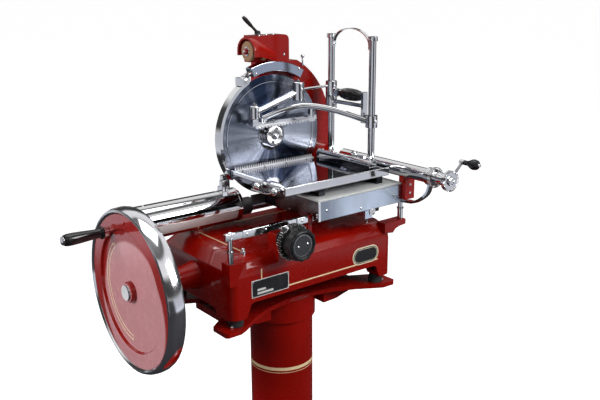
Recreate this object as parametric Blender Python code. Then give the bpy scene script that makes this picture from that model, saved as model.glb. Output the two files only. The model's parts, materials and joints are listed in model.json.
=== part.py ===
"""Hand cranked flywheel meat slicer on its cast pedestal.

Metres, +Z up. The origin is on the floor, on the axis of the pedestal column.
X runs along the machine from the flywheel (-X) to the feed crank (+X).
-Y faces the person who turns the flywheel. The blade lies in a plane across Y.
"""

import math

import bmesh
import bpy
from mathutils import Matrix, Vector

# Clearances
SEAT = 0.0003            # between faces that rest on each other
RUNNING = 0.0002         # round a shaft in its bore
MESH_GAP = 0.0006        # between the teeth of two gears
STEPS = 24               # sides of an ordinary round piece
FINE_STEPS = 48          # sides of the blade and the flywheel
TUBE_STEPS = 40          # sides of the chrome guide tube

# Pedestal
FOOT_RADIUS = 0.250
FOOT_TOP = 0.118
COLUMN_RADIUS = 0.0843
COLUMN_WALL = 0.005
COLLAR_WALL = 0.007
COLLAR_BOTTOM = 0.692
HEAD_TOP = 0.7615
HEAD_THICKNESS = 0.012
RUBBER_HEIGHT = 0.0229
RUBBER_RADIUS = 0.019
FOOT_INSET = 0.030

# Base casting
BASE_LEFT = -0.263
BASE_RIGHT = 0.251
BASE_HALF_DEPTH = 0.161
BASE_BOTTOM = HEAD_TOP + RUBBER_HEIGHT + 2 * SEAT
SHOULDER_HEIGHT = 0.117
BASE_HEIGHT = 0.145
BASE_WALL = 0.008
BASE_TOP = BASE_BOTTOM + BASE_HEIGHT
BASE_SHOULDER = BASE_BOTTOM + SHOULDER_HEIGHT
LEG_LENGTH = 0.052
ARCH_HEIGHT = 0.035
PAD_INSET = 0.007        # pads inside the corners that stand on the rubber feet
PAD_REACH = 0.048
PAD_THICKNESS = 0.012

# Main shaft and flywheel
SHAFT_LEVEL = BASE_BOTTOM + 0.072
SHAFT_RADIUS = 0.011
HOUSING_RADIUS = 0.034
HUB_LENGTH = 0.053
FLYWHEEL_FACE = -0.4385
FLYWHEEL_WIDTH = 0.035
FACE_RADIUS = 0.1838
FACE_LAND = 0.041        # from the rim to the foot of the dished face
BACK_LAND = 0.0178
RIM_THICKNESS = 0.0142
HUB_RADIUS = 0.0255
HUB_PROUD = 0.0045       # of the hub in front of the rim's face
WEB_DEPTH = 0.008
WEB_THICKNESS = 0.007
HANDLE_ORBIT = FACE_RADIUS - 0.0308
HANDLE_ANGLE = math.radians(54.8)
HANDLE_LENGTH = 0.0972
HANDLE_RADIUS = 0.0125
SPINDLE_RADIUS = 0.006

# Crank wheel that drives the carriage
CRANK_X = -0.085
CRANK_POST_RADIUS = 0.008
CRANK_Y = SHAFT_RADIUS + CRANK_POST_RADIUS + 0.003
CRANK_WALL_GAP = 0.013
CRANK_WHEEL_RADIUS = BASE_HALF_DEPTH - BASE_WALL - CRANK_Y - CRANK_WALL_GAP
CRANK_THROW = CRANK_WHEEL_RADIUS - 0.013
CRANK_WHEEL_UNDERSIDE = SHAFT_LEVEL + 0.027
CRANK_WHEEL_THICKNESS = 0.010
CRANK_PIN_RADIUS = 0.007
ROD_LENGTH = 0.180
ROD_LEVEL = SHAFT_LEVEL + 0.043
ROD_THICKNESS = 0.008
DRIVE_PIN_X = 0.140
DRIVE_PIN_RADIUS = 0.006
STROKE_RIGHT = 0.060
STROKE_LEFT = 2 * CRANK_THROW - STROKE_RIGHT

# Blade
BLADE_X = 0.035
BLADE_FACE = BASE_HALF_DEPTH - 0.082
BLADE_RADIUS = 0.158
BLADE_THICKNESS = 0.005

# Rear guide bar and its chrome tube
BAR_Y = BLADE_FACE + 0.021
BAR_LEVEL = 0.968
BAR_RADIUS = 0.015
TUBE_LEVEL = BAR_LEVEL + 0.012
TUBE_RADIUS = 0.0437
TUBE_WALL = 0.003
TUBE_LEFT = -0.395
TUBE_RIGHT = -0.075
SLEEVE_RADIUS = 0.022
SLEEVE_LEFT = -0.100
SLEEVE_RIGHT = -0.030
ARM_THICKNESS = 0.005
BLADE_BAR_GAP = 0.014    # from the guide bar up to the blade's lowest point
BLADE_LEVEL = BAR_LEVEL + BAR_RADIUS + BLADE_BAR_GAP + BLADE_RADIUS

# Stand that carries the blade
STAND_FRONT = BLADE_FACE + 0.013
STAND_THICKNESS = 0.032
STAND_RADIUS = BLADE_RADIUS + 0.054
STAND_TOP = BLADE_LEVEL + BLADE_RADIUS + 0.030
STAND_LEFT = 0.100
STAND_RIGHT = BLADE_X + STAND_RADIUS

# Guards round the blade
GUARD_GAP = 0.0014
RING_WIDTH = 0.0086
TOP_GUARD_WIDTH = 0.024
RING_START = 121         # degrees round the blade
RING_END = 217
TOP_GUARD_START = 58.5
TOP_GUARD_END = 111.5
RING_INNER = BLADE_RADIUS + GUARD_GAP
RING_OUTER = RING_INNER + RING_WIDTH
RING_FRONT = BLADE_FACE - 0.011
TOP_GUARD_INNER = RING_OUTER
TOP_GUARD_OUTER = TOP_GUARD_INNER + TOP_GUARD_WIDTH
TOP_GUARD_FRONT = BLADE_FACE - 0.014

# Blade drive
CROSS_X = 0.175
MITRE_LENGTH = 0.012
MITRE_DISTANCE = 0.014
CHAIN_Y = STAND_FRONT + STAND_THICKNESS + 0.007
CHAIN_WIDTH = 0.007
CHAIN_THICKNESS = 0.004
LOWER_SPROCKET = 0.034
UPPER_SPROCKET = 0.020
BEARING_RADIUS = 0.018

# Front rail
RAIL_Y = -BASE_HALF_DEPTH + 0.009
RAIL_DEPTH = 0.010
RAIL_TOP = 0.9985
RAIL_HEIGHT = 0.015
RAIL_LEFT = -0.270
RAIL_RIGHT = 0.297
PILLAR_RADIUS = 0.0062
PILLAR_LEFT_X = -0.256
PILLAR_RIGHT_X = 0.2885

# Carriage
CARRIAGE_LEFT = -0.020
CARRIAGE_RIGHT = 0.258
CARRIAGE_FRONT = RAIL_Y - 0.031
CARRIAGE_BACK = CRANK_Y + 0.015
CARRIAGE_BOTTOM = 0.987
CARRIAGE_HEIGHT = 0.048
CARRIAGE_WALL = 0.005
TOP_PLATE = 0.005
KEEPER_X = 0.145
ROLLER_RADIUS = 0.012

# Tray with its fence, posts and clamp
TRAY_LEFT = -0.105
TRAY_RIGHT = 0.229
TRAY_FRONT = CARRIAGE_FRONT + 0.017
TRAY_BACK = BLADE_FACE - 0.013
TRAY_LEVEL = 1.077
TRAY_THICKNESS = 0.016
TRAY_RIM = 0.005
RUNNER_WIDTH = 0.020
FENCE_X = 0.185
FENCE_RADIUS = 0.012
POST_X = 0.215
POST_BACK_Y = TRAY_BACK - 0.019
POST_FRONT_Y = TRAY_FRONT + 0.054
POST_RADIUS = 0.009
POST_HEIGHT = 0.334
POST_TOP = TRAY_LEVEL + POST_HEIGHT
SLIDER_RADIUS = 0.0155
PRESSER_HEIGHT = 0.110   # of the presser's teeth over the tray at rest
PRESSER_BOTTOM = TRAY_LEVEL + PRESSER_HEIGHT
SLIDER_BOTTOM = PRESSER_BOTTOM + 0.018
SLIDER_TOP = SLIDER_BOTTOM + 0.080
FRONT_SLIDER_BOTTOM = PRESSER_BOTTOM - 0.007
FRONT_SLIDER_TOP = FRONT_SLIDER_BOTTOM + 0.031
ARCH_WIDTH = 0.010
ARCH_THICKNESS = 0.0012
PRESSER_BACK = TRAY_BACK - 0.008
PRESSER_LEFT = -0.035
PRESSER_LENGTH = 0.200
LINK_Y = PRESSER_BACK - 0.023
LINK_RADIUS = 0.008
GRIP_Y = (POST_BACK_Y + POST_FRONT_Y) / 2 - 0.0005
GRIP_LEVEL = PRESSER_BOTTOM + 0.069
GRIP_HALF_LENGTH = (POST_BACK_Y - POST_FRONT_Y) / 2 - 0.0335
GRIP_RADIUS = 0.0165

# Feed screw and its crank
FEED_X = 0.268
FEED_LEVEL = 1.072
FEED_TUBE_RADIUS = 0.0185
FEED_TUBE_WALL = 0.0025
FEED_TUBE_FRONT = CARRIAGE_FRONT - 0.085
FEED_TUBE_BACK = CARRIAGE_BACK + 0.018
FEED_SCREW_RADIUS = 0.006
FEED_TRAVEL = 0.120
RATCHET_RADIUS = 0.0215
HAND_WHEEL_RADIUS = 0.0255
CRANK_ARM_LENGTH = 0.060
CRANK_ARM_ANGLE = math.radians(43)
BALL_RADIUS = 0.0135

# Thickness dial
DIAL_X = -0.106
DIAL_LEVEL = 0.958
DIAL_NECK_RADIUS = 0.026
DIAL_RING_RADIUS = 0.044
DIAL_KNOB_RADIUS = 0.040
DIAL_BACK = -BASE_HALF_DEPTH + 0.0025
DIAL_RING_BACK = DIAL_BACK - 0.0285
DIAL_RING_FRONT = DIAL_RING_BACK - 0.012
DIAL_KNOB_LENGTH = 0.028

# Sharpener
SHARPENER_LEFT = -0.004
SHARPENER_RIGHT = 0.107
SHARPENER_FRONT = STAND_FRONT + 0.0005
SHARPENER_BACK = SHARPENER_FRONT + 0.0475
SHARPENER_HEIGHT = 0.068
STONE_X = -0.0305        # its face, which looks towards the flywheel
STONE_Y = BLADE_FACE + 0.011
STONE_LEVEL = STAND_TOP + 0.0315
STONE_RADIUS = 0.0255
STONE_THICKNESS = 0.011
HONE_X = 0.0045
HONE_Y = BLADE_FACE - 0.001
HONE_LEVEL = STAND_TOP + 0.0180
HONE_RADIUS = 0.0142
HONE_THICKNESS = 0.007
HONE_TILT = math.radians(28)
HOOD_WALL = 0.005


def clear_scene():
    for item in list(bpy.data.objects):
        bpy.data.objects.remove(item, do_unlink=True)


def finish_material(name, colour, roughness, metallic):
    """One Principled material per finish, made once and shared."""
    found = bpy.data.materials.get(name)
    if found:
        return found
    material = bpy.data.materials.new(name)
    material.use_nodes = True
    shader = material.node_tree.nodes["Principled BSDF"]
    shader.inputs["Base Color"].default_value = (*colour, 1.0)
    shader.inputs["Roughness"].default_value = roughness
    shader.inputs["Metallic"].default_value = metallic
    return material


FINISHES = {
    "enamel": ((0.30, 0.010, 0.012), 0.18, 0.0),
    "chrome": ((0.80, 0.80, 0.82), 0.08, 1.0),
    "blade_steel": ((0.72, 0.74, 0.78), 0.18, 1.0),
    "steel": ((0.45, 0.45, 0.46), 0.35, 1.0),
    "cast_iron": ((0.16, 0.16, 0.17), 0.6, 0.6),
    "bronze": ((0.55, 0.38, 0.16), 0.35, 1.0),
    "black_plastic": ((0.02, 0.02, 0.02), 0.3, 0.0),
    "rubber": ((0.03, 0.03, 0.03), 0.7, 0.0),
    "stone": ((0.42, 0.30, 0.20), 0.8, 0.0),
    "white_plate": ((0.75, 0.76, 0.77), 0.12, 1.0),
}


def make_object(name, bm, finish, origin=(0.0, 0.0, 0.0), smooth=True):
    """Turn a bmesh in world coordinates into an object with its origin at a given point."""
    bmesh.ops.recalc_face_normals(bm, faces=bm.faces)
    place = Vector(origin)
    bmesh.ops.translate(bm, verts=bm.verts, vec=-place)
    mesh = bpy.data.meshes.new(name)
    bm.to_mesh(mesh)
    bm.free()
    item = bpy.data.objects.new(name, mesh)
    item.location = place
    bpy.context.collection.objects.link(item)
    mesh.materials.append(finish_material(finish, *FINISHES[finish]))
    if smooth:
        mesh.shade_smooth()
        mesh.set_sharp_from_angle(angle=math.radians(35))
    return item


def along(axis):
    """Rotation that turns +Z onto the named axis."""
    if axis == "X":
        return Matrix.Rotation(math.pi / 2, 4, "Y")
    if axis == "Y":
        return Matrix.Rotation(-math.pi / 2, 4, "X")
    return Matrix.Identity(4)


def turned(name, finish, profile, axis, centre, closed=False, steps=STEPS, origin=None):
    """Turn (radius, height) points round an axis. A closed profile makes a ring."""
    bm = bmesh.new()
    rings = []
    for radius, height in profile:
        if radius < 1e-9:
            rings.append([bm.verts.new((0.0, 0.0, height))])
            continue
        ring = []
        for step in range(steps):
            angle = 2 * math.pi * step / steps
            ring.append(bm.verts.new((radius * math.cos(angle), radius * math.sin(angle), height)))
        rings.append(ring)
    pairs = list(zip(rings, rings[1:]))
    if closed:
        pairs.append((rings[-1], rings[0]))
    for lower, upper in pairs:
        for step in range(steps):
            after = (step + 1) % steps
            corners = [lower[step % len(lower)], lower[after % len(lower)],
                       upper[after % len(upper)], upper[step % len(upper)]]
            unique = list(dict.fromkeys(corners))
            if len(unique) > 2:
                bm.faces.new(unique)
    if not closed:
        for ring in (rings[0], rings[-1]):
            if len(ring) > 2:
                bm.faces.new(ring)
    turn = along(axis)
    turn.translation = Vector(centre)
    bmesh.ops.transform(bm, matrix=turn, verts=bm.verts)
    return make_object(name, bm, finish, origin if origin else centre)


def rod(name, finish, axis, centre, radius, start, end, steps=STEPS, origin=None):
    """A plain round bar between two positions along its axis."""
    offset = dict(X=centre[0], Y=centre[1], Z=centre[2])[axis]
    profile = [(0, start - offset), (radius, start - offset), (radius, end - offset), (0, end - offset)]
    return turned(name, finish, profile, axis, centre, steps=steps, origin=origin)


def pipe(name, finish, axis, centre, inner, outer, start, end, steps=STEPS, origin=None):
    """A plain tube between two positions along its axis."""
    offset = dict(X=centre[0], Y=centre[1], Z=centre[2])[axis]
    profile = [(inner, start - offset), (outer, start - offset), (outer, end - offset),
               (inner, end - offset)]
    return turned(name, finish, profile, axis, centre, closed=True, steps=steps, origin=origin)


PLANES = {
    "XY": lambda a, b, c: (a, b, c),
    "XZ": lambda a, b, c: (a, c, b),
    "YZ": lambda a, b, c: (c, a, b),
}


def prism(name, finish, outline, plane, start, end, origin=(0, 0, 0), smooth=False):
    """Extrude a flat outline from one position to another across its plane."""
    bm = bmesh.new()
    place = PLANES[plane]
    low = [bm.verts.new(place(a, b, start)) for a, b in outline]
    high = [bm.verts.new(place(a, b, end)) for a, b in outline]
    bm.faces.new(low)
    bm.faces.new(high)
    count = len(outline)
    for step in range(count):
        after = (step + 1) % count
        bm.faces.new([low[step], low[after], high[after], high[step]])
    return make_object(name, bm, finish, origin, smooth)


def box(name, finish, low, high, origin=(0, 0, 0)):
    """A plain block between two corners."""
    outline = [(low[0], low[1]), (high[0], low[1]), (high[0], high[1]), (low[0], high[1])]
    return prism(name, finish, outline, "XY", low[2], high[2], origin)


def arc(centre, radius, start, end, steps):
    """Points on a circle from one angle in degrees to another."""
    points = []
    for step in range(steps + 1):
        angle = math.radians(start + (end - start) * step / steps)
        points.append((centre[0] + radius * math.cos(angle), centre[1] + radius * math.sin(angle)))
    return points


def rounded_rectangle(low, high, radius, steps=4):
    """Corner points of a rectangle with round corners."""
    corners = [((high[0] - radius, high[1] - radius), 0), ((low[0] + radius, high[1] - radius), 90),
               ((low[0] + radius, low[1] + radius), 180), ((high[0] - radius, low[1] + radius), 270)]
    points = []
    for centre, angle in corners:
        points += arc(centre, radius, angle, angle + 90, steps)
    return points


def toothed_ring(name, finish, axis, centre, bore, root, tip, teeth, start, end, end_scale=1.0,
                 origin=None):
    """A gear, sprocket or fluted knob. end_scale draws its far end in, for a mitre gear."""
    offset = dict(X=centre[0], Y=centre[1], Z=centre[2])[axis]
    bm = bmesh.new()
    count = teeth * 4
    loops = []
    for height, scale in ((start - offset, 1.0), (end - offset, end_scale)):
        outer, inner = [], []
        for step in range(count):
            angle = 2 * math.pi * step / count
            radius = (tip if step % 4 in (0, 1) else root) * scale
            outer.append(bm.verts.new((radius * math.cos(angle), radius * math.sin(angle), height)))
            inner.append(bm.verts.new((bore * math.cos(angle), bore * math.sin(angle), height)))
        loops.append((outer, inner))
    (outer_a, inner_a), (outer_b, inner_b) = loops
    for step in range(count):
        after = (step + 1) % count
        bm.faces.new([outer_a[step], outer_a[after], outer_b[after], outer_b[step]])
        bm.faces.new([inner_a[step], inner_b[step], inner_b[after], inner_a[after]])
        bm.faces.new([outer_a[step], inner_a[step], inner_a[after], outer_a[after]])
        bm.faces.new([outer_b[step], outer_b[after], inner_b[after], inner_b[step]])
    turn = along(axis)
    turn.translation = Vector(centre)
    bmesh.ops.transform(bm, matrix=turn, verts=bm.verts)
    return make_object(name, bm, finish, origin if origin else centre, smooth=False)


def smooth_path(points, count):
    """Points on a smooth curve that passes through the given ones."""
    guides = [Vector(point) for point in points]
    spans = len(guides) - 1
    path = []
    for step in range(count + 1):
        place = spans * step / count
        index = min(int(place), spans - 1)
        t = place - index
        before = guides[max(index - 1, 0)]
        first, second = guides[index], guides[index + 1]
        after = guides[min(index + 2, spans)]
        path.append(0.5 * (2 * first + (second - before) * t
                           + (2 * before - 5 * first + 4 * second - after) * t ** 2
                           + (3 * first - before - 3 * second + after) * t ** 3))
    return path


def swept(name, finish, path, half_width, half_height, sides, up=(0, 0, 1), origin=(0, 0, 0), taper=1.0):
    """Sweep an oval section, or a flat one with four sides, along a path."""
    bm = bmesh.new()
    rings = []
    for index, point in enumerate(path):
        ahead = path[min(index + 1, len(path) - 1)] - path[max(index - 1, 0)]
        side = ahead.normalized().cross(Vector(up)).normalized()
        rise = side.cross(ahead.normalized())
        share = 1 + (taper - 1) * index / (len(path) - 1)
        ring = []
        for step in range(sides):
            angle = 2 * math.pi * (step + 0.5) / sides
            reach = math.sqrt(2) if sides == 4 else 1.0
            ring.append(bm.verts.new(point + side * (half_width * share * reach * math.cos(angle))
                                     + rise * (half_height * share * reach * math.sin(angle))))
        rings.append(ring)
    for lower, upper in zip(rings, rings[1:]):
        for step in range(sides):
            after = (step + 1) % sides
            bm.faces.new([lower[step], lower[after], upper[after], upper[step]])
    bm.faces.new(rings[0])
    bm.faces.new(rings[-1])
    return make_object(name, bm, finish, origin, smooth=sides > 4)


def use_tool(target, tool, operation):
    """Cut a tool out of a piece, or join it on. The tool itself is only a guide."""
    modifier = target.modifiers.new(operation.lower() + "_" + tool.name, "BOOLEAN")
    modifier.operation = operation
    modifier.solver = "EXACT"
    modifier.object = tool
    tool.hide_render = True
    tool.display_type = "WIRE"


def cut(target, *tools):
    for tool in tools:
        use_tool(target, tool, "DIFFERENCE")


def join(target, *tools):
    for tool in tools:
        use_tool(target, tool, "UNION")


def ring_stack(name, finish, rings):
    """Skin a stack of equal outlines, each given with its height, and close both ends."""
    bm = bmesh.new()
    loops = [[bm.verts.new((x, y, height)) for x, y in outline] for outline, height in rings]
    count = len(loops[0])
    for lower, upper in zip(loops, loops[1:]):
        for step in range(count):
            after = (step + 1) % count
            bm.faces.new([lower[step], lower[after], upper[after], upper[step]])
    bm.faces.new(loops[0])
    bm.faces.new(loops[-1])
    return make_object(name, bm, finish)


def make_pedestal():
    spigot = COLUMN_RADIUS - COLUMN_WALL - SEAT
    turned("pedestal_foot", "enamel",
           [(0, 0), (FOOT_RADIUS, 0), (FOOT_RADIUS, 0.014), (FOOT_RADIUS - 0.007, 0.020), (0.195, 0.031),
            (0.150, 0.045), (0.118, 0.068), (0.101, 0.098), (0.097, FOOT_TOP), (spigot, FOOT_TOP),
            (spigot, FOOT_TOP + 0.022), (0, FOOT_TOP + 0.022)],
           "Z", (0, 0, 0), steps=48)
    plate_bottom = HEAD_TOP - HEAD_THICKNESS
    pipe("pedestal_column", "enamel", "Z", (0, 0, 0), COLUMN_RADIUS - COLUMN_WALL, COLUMN_RADIUS,
         FOOT_TOP + SEAT, plate_bottom - SEAT, steps=48)
    make_pedestal_head(plate_bottom)
    left, right = BASE_LEFT + FOOT_INSET, BASE_RIGHT - FOOT_INSET
    depth = BASE_HALF_DEPTH - FOOT_INSET
    places = {"front_left": (left, -depth), "front_right": (right, -depth),
              "rear_left": (left, depth), "rear_right": (right, depth)}
    for place, (x, y) in places.items():
        low = HEAD_TOP + SEAT
        high = low + RUBBER_HEIGHT
        turned("rubber_foot_" + place, "rubber",
               [(0, 0), (RUBBER_RADIUS, 0), (RUBBER_RADIUS, 0.008), (RUBBER_RADIUS - 0.003, high - low),
                (0, high - low)],
               "Z", (x, y, low), steps=16)


def make_pedestal_head(plate_bottom):
    """Plate with four arms that reach under the feet, webs below and a collar round the column."""
    centre_x = (BASE_LEFT + BASE_RIGHT) / 2
    reach_x = (BASE_RIGHT - BASE_LEFT) / 2 + 0.016
    reach_y = BASE_HALF_DEPTH + 0.001
    pad_x, pad_y = 0.062, 0.058
    waist_x, waist_y = 0.155, 0.082
    quarter = [(reach_x - 0.006, reach_y), (reach_x, reach_y - 0.006), (reach_x, reach_y - pad_y),
               (reach_x - 0.030, reach_y - pad_y - 0.022), (waist_x + 0.020, 0.045), (waist_x, 0.0)]
    front = [(0.0, waist_y), (0.050, waist_y + 0.003), (0.105, waist_y + 0.016), (0.165, waist_y + 0.042),
             (reach_x - pad_x, reach_y - 0.010), (reach_x - pad_x + 0.020, reach_y)]
    side = front + quarter
    outline = [(centre_x + x, -y) for x, y in side]
    outline += [(centre_x + x, y) for x, y in reversed(side[:-1])]
    outline += [(centre_x - x, y) for x, y in side[1:]]
    outline += [(centre_x - x, -y) for x, y in reversed(side[1:-1])]
    head = prism("pedestal_head", "enamel", outline, "XY", plate_bottom, HEAD_TOP)
    collar_bore = COLUMN_RADIUS + SEAT
    collar = pipe("guide_collar", "enamel", "Z", (0, 0, 0), collar_bore, COLUMN_RADIUS + COLLAR_WALL,
                  COLLAR_BOTTOM, plate_bottom + 0.004, steps=48)
    join(head, collar)
    for sign in (-1, 1):
        web_end = centre_x + sign * (reach_x - 0.060)
        web_start = sign * (COLUMN_RADIUS + COLLAR_WALL / 2)
        web = prism("guide_web_%s" % ("right" if sign > 0 else "left"), "enamel",
                    [(web_start, plate_bottom + 0.003), (web_end, plate_bottom + 0.003),
                     (web_end, plate_bottom - 0.016), (web_start + sign * 0.045, plate_bottom - 0.034),
                     (web_start, plate_bottom - 0.036)],
                    "XZ", -0.074, 0.074)
        cut(web, rod("guide_bore_%s" % ("right" if sign > 0 else "left"), "enamel", "Z", (0, 0, 0),
                     COLUMN_RADIUS + COLLAR_WALL / 2, COLLAR_BOTTOM - 0.01, plate_bottom + 0.02, steps=48))
        join(head, web)


def base_outline(inset_left, inset_right, inset_front, inset_back, radius):
    return rounded_rectangle((BASE_LEFT + inset_left, -BASE_HALF_DEPTH + inset_front),
                             (BASE_RIGHT - inset_right, BASE_HALF_DEPTH - inset_back), radius)


def make_base():
    """Hollow casting, open below, with a sloping front, arches between its feet and lugs for the rail."""
    top_slope = dict(inset_left=0.058, inset_right=0.014, inset_front=0.036, inset_back=0.018)
    wall = BASE_WALL
    base = ring_stack("base_casting", "enamel", [
        (base_outline(0, 0, 0, 0, 0.022), BASE_BOTTOM),
        (base_outline(0, 0, 0, 0, 0.022), BASE_SHOULDER - 0.014),
        (base_outline(0.003, 0.001, 0.003, 0.001, 0.022), BASE_SHOULDER),
        (base_outline(0.030, 0.006, 0.016, 0.008, 0.020), BASE_SHOULDER + 0.017),
        (base_outline(radius=0.018, **top_slope), BASE_TOP)])
    inner_slope = {key: value + wall for key, value in top_slope.items()}
    cavity = ring_stack("guide_cavity", "enamel", [
        (base_outline(wall, wall, wall, wall, 0.016), BASE_BOTTOM - 0.01),
        (base_outline(wall, wall, wall, wall, 0.016), BASE_SHOULDER - 0.014),
        (base_outline(0.036, wall, 0.022, wall, 0.014), BASE_SHOULDER + 0.004),
        (base_outline(radius=0.012, **inner_slope), BASE_TOP - wall)])
    for lug in make_base_lugs():
        join(base, lug)
    cut(base, cavity)
    for sign_x, corner_x in ((1, BASE_LEFT), (-1, BASE_RIGHT)):
        for sign_y in (1, -1):
            pad_x = sorted((corner_x + sign_x * PAD_INSET, corner_x + sign_x * PAD_REACH))
            pad_y = sorted((-sign_y * (BASE_HALF_DEPTH - PAD_INSET),
                            -sign_y * (BASE_HALF_DEPTH - PAD_REACH)))
            join(base, box("guide_pad_%d" % len(base.modifiers), "enamel",
                           (pad_x[0], pad_y[0], BASE_BOTTOM),
                           (pad_x[1], pad_y[1], BASE_BOTTOM + PAD_THICKNESS)))
    for side, (start, end, plane, reach) in {
            "long": (BASE_LEFT + LEG_LENGTH, BASE_RIGHT - LEG_LENGTH, "XZ", BASE_HALF_DEPTH),
            "short": (-BASE_HALF_DEPTH + 0.066, BASE_HALF_DEPTH - 0.066, "YZ",
                      BASE_RIGHT - BASE_LEFT)}.items():
        height = ARCH_HEIGHT if side == "long" else 0.016
        curve = 0.014
        outline = [(start - curve, BASE_BOTTOM - 0.01), (start, BASE_BOTTOM + height - curve)]
        outline += arc((start + curve, BASE_BOTTOM + height - curve), curve, 150, 90, 3)
        outline += arc((end - curve, BASE_BOTTOM + height - curve), curve, 90, 30, 3)
        outline += [(end, BASE_BOTTOM + height - curve), (end + curve, BASE_BOTTOM - 0.01)]
        cut(base, prism("guide_arch_" + side, "enamel", outline, plane, -reach - 0.02, reach + 0.02))
    slot_start = DRIVE_PIN_X - STROKE_LEFT - 0.012
    slot_end = DRIVE_PIN_X + STROKE_RIGHT + 0.012
    cut(base,
        box("guide_pin_slot", "enamel", (slot_start, CRANK_Y - 0.010, BASE_TOP - 0.03),
            (slot_end, CRANK_Y + 0.010, BASE_TOP + 0.03)),
        box("guide_chain_slot", "enamel", (CROSS_X - 0.080, CHAIN_Y - 0.0065, BASE_TOP - 0.03),
            (CROSS_X + 0.0135, CHAIN_Y + 0.008, BASE_TOP + 0.03)),
        rod("guide_shaft_hole", "enamel", "X", (BASE_LEFT, 0, SHAFT_LEVEL), BEARING_RADIUS + SEAT,
            BASE_LEFT - 0.03, BASE_LEFT + 0.03))
    return base


def make_base_lugs():
    """Blocks that grow out of the casting: pillar seats, rail post, dial pad and tube saddle."""
    rail_bottom = RAIL_TOP - RAIL_HEIGHT
    rail_half = RAIL_DEPTH / 2
    seat_top = BASE_TOP
    return [
        box("guide_left_seat", "enamel",
            (PILLAR_LEFT_X - 0.009, -BASE_HALF_DEPTH + 0.0005, BASE_SHOULDER - 0.030),
            (BASE_LEFT + 0.045, RAIL_Y + 0.024, seat_top - 0.004)),
        prism("guide_right_seat", "enamel",
              [(BASE_RIGHT - 0.030, BASE_SHOULDER + 0.002), (BASE_RIGHT - 0.0005, BASE_SHOULDER - 0.002),
               (BASE_RIGHT + 0.010, BASE_SHOULDER + 0.008), (BASE_RIGHT + 0.024, BASE_SHOULDER + 0.012),
               (PILLAR_RIGHT_X + 0.009, BASE_SHOULDER + 0.014), (PILLAR_RIGHT_X + 0.009, seat_top),
               (BASE_RIGHT - 0.030, seat_top)],
              "XZ", -BASE_HALF_DEPTH - 0.004, RAIL_Y + 0.018),
        box("guide_rail_post", "enamel", (-0.032, RAIL_Y - rail_half, BASE_SHOULDER - 0.01),
            (-0.021, RAIL_Y + rail_half, rail_bottom - SEAT)),
        box("guide_dial_pad", "enamel", (DIAL_X - 0.018, DIAL_BACK + SEAT, BASE_SHOULDER - 0.012),
            (DIAL_X + 0.018, -BASE_HALF_DEPTH + 0.043, DIAL_LEVEL + 0.012)),
        box("guide_tube_saddle", "enamel", (-0.205, BAR_Y - 0.012, BASE_TOP - 0.012),
            (-0.180, BAR_Y + 0.012, TUBE_LEVEL - TUBE_RADIUS - SEAT)),
    ]


def make_flywheel():
    axis_point = (FLYWHEEL_FACE, 0, SHAFT_LEVEL)
    bore = SHAFT_RADIUS + SEAT
    web_front = WEB_DEPTH
    web_back = WEB_DEPTH + WEB_THICKNESS
    edge = FACE_RADIUS - SEAT
    land = FACE_RADIUS - FACE_LAND
    back_land = FACE_RADIUS - BACK_LAND
    turned("flywheel_disc", "enamel",
           [(bore, -HUB_PROUD), (HUB_RADIUS - 0.003, -HUB_PROUD),
            (HUB_RADIUS - 0.0008, -HUB_PROUD + 0.0025),
            (HUB_RADIUS, web_front), (land, web_front), (land + 0.0025, web_front - 0.0015),
            (land + 0.0050, 0.0012), (land + 0.0075, 0.0), (edge, 0.0), (edge, FLYWHEEL_WIDTH - 0.005),
            (back_land + 0.008, FLYWHEEL_WIDTH - 0.005), (back_land, web_back), (HUB_RADIUS, web_back),
            (HUB_RADIUS - 0.002, HUB_LENGTH), (bore, HUB_LENGTH)],
           "X", axis_point, closed=True, steps=FINE_STEPS)
    outer = FACE_RADIUS + RIM_THICKNESS
    width = FLYWHEEL_WIDTH
    turned("flywheel_rim", "chrome",
           [(FACE_RADIUS, 0.0), (FACE_RADIUS + 0.0045, -0.0042), (outer - 0.004, -0.0022),
            (outer - 0.0008, 0.006), (outer, width / 2), (outer - 0.0008, width - 0.006),
            (outer - 0.004, width + 0.0022), (FACE_RADIUS + 0.0045, width + 0.0042), (FACE_RADIUS, width)],
           "X", axis_point, closed=True, steps=FINE_STEPS)
    make_main_shaft(axis_point)
    y = HANDLE_ORBIT * math.cos(HANDLE_ANGLE)
    z = SHAFT_LEVEL + HANDLE_ORBIT * math.sin(HANDLE_ANGLE)
    root = (FLYWHEEL_FACE - SEAT, y, z)
    collar = 0.012
    grip_end = collar + HANDLE_LENGTH
    tip = HANDLE_RADIUS
    turned("handle_spindle", "steel",
           [(0, 0), (0.0115, 0), (0.0115, -collar), (SPINDLE_RADIUS, -collar),
            (SPINDLE_RADIUS, -grip_end - SEAT),
            (tip - 0.002, -grip_end - SEAT), (tip - 0.003, -grip_end - 0.004), (0, -grip_end - 0.0065)],
           "X", root, steps=24)
    bore = SPINDLE_RADIUS + RUNNING
    turned("handle_grip", "black_plastic",
           [(bore, -collar - SEAT), (0.0095, -collar - SEAT), (0.0105, -collar - 0.008),
            (0.0100, -collar - 0.030),
            (tip - 0.0005, -grip_end + 0.030), (tip, -grip_end + 0.008), (tip - 0.002, -grip_end),
            (bore, -grip_end)],
           "X", root, closed=True, steps=24)


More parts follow.
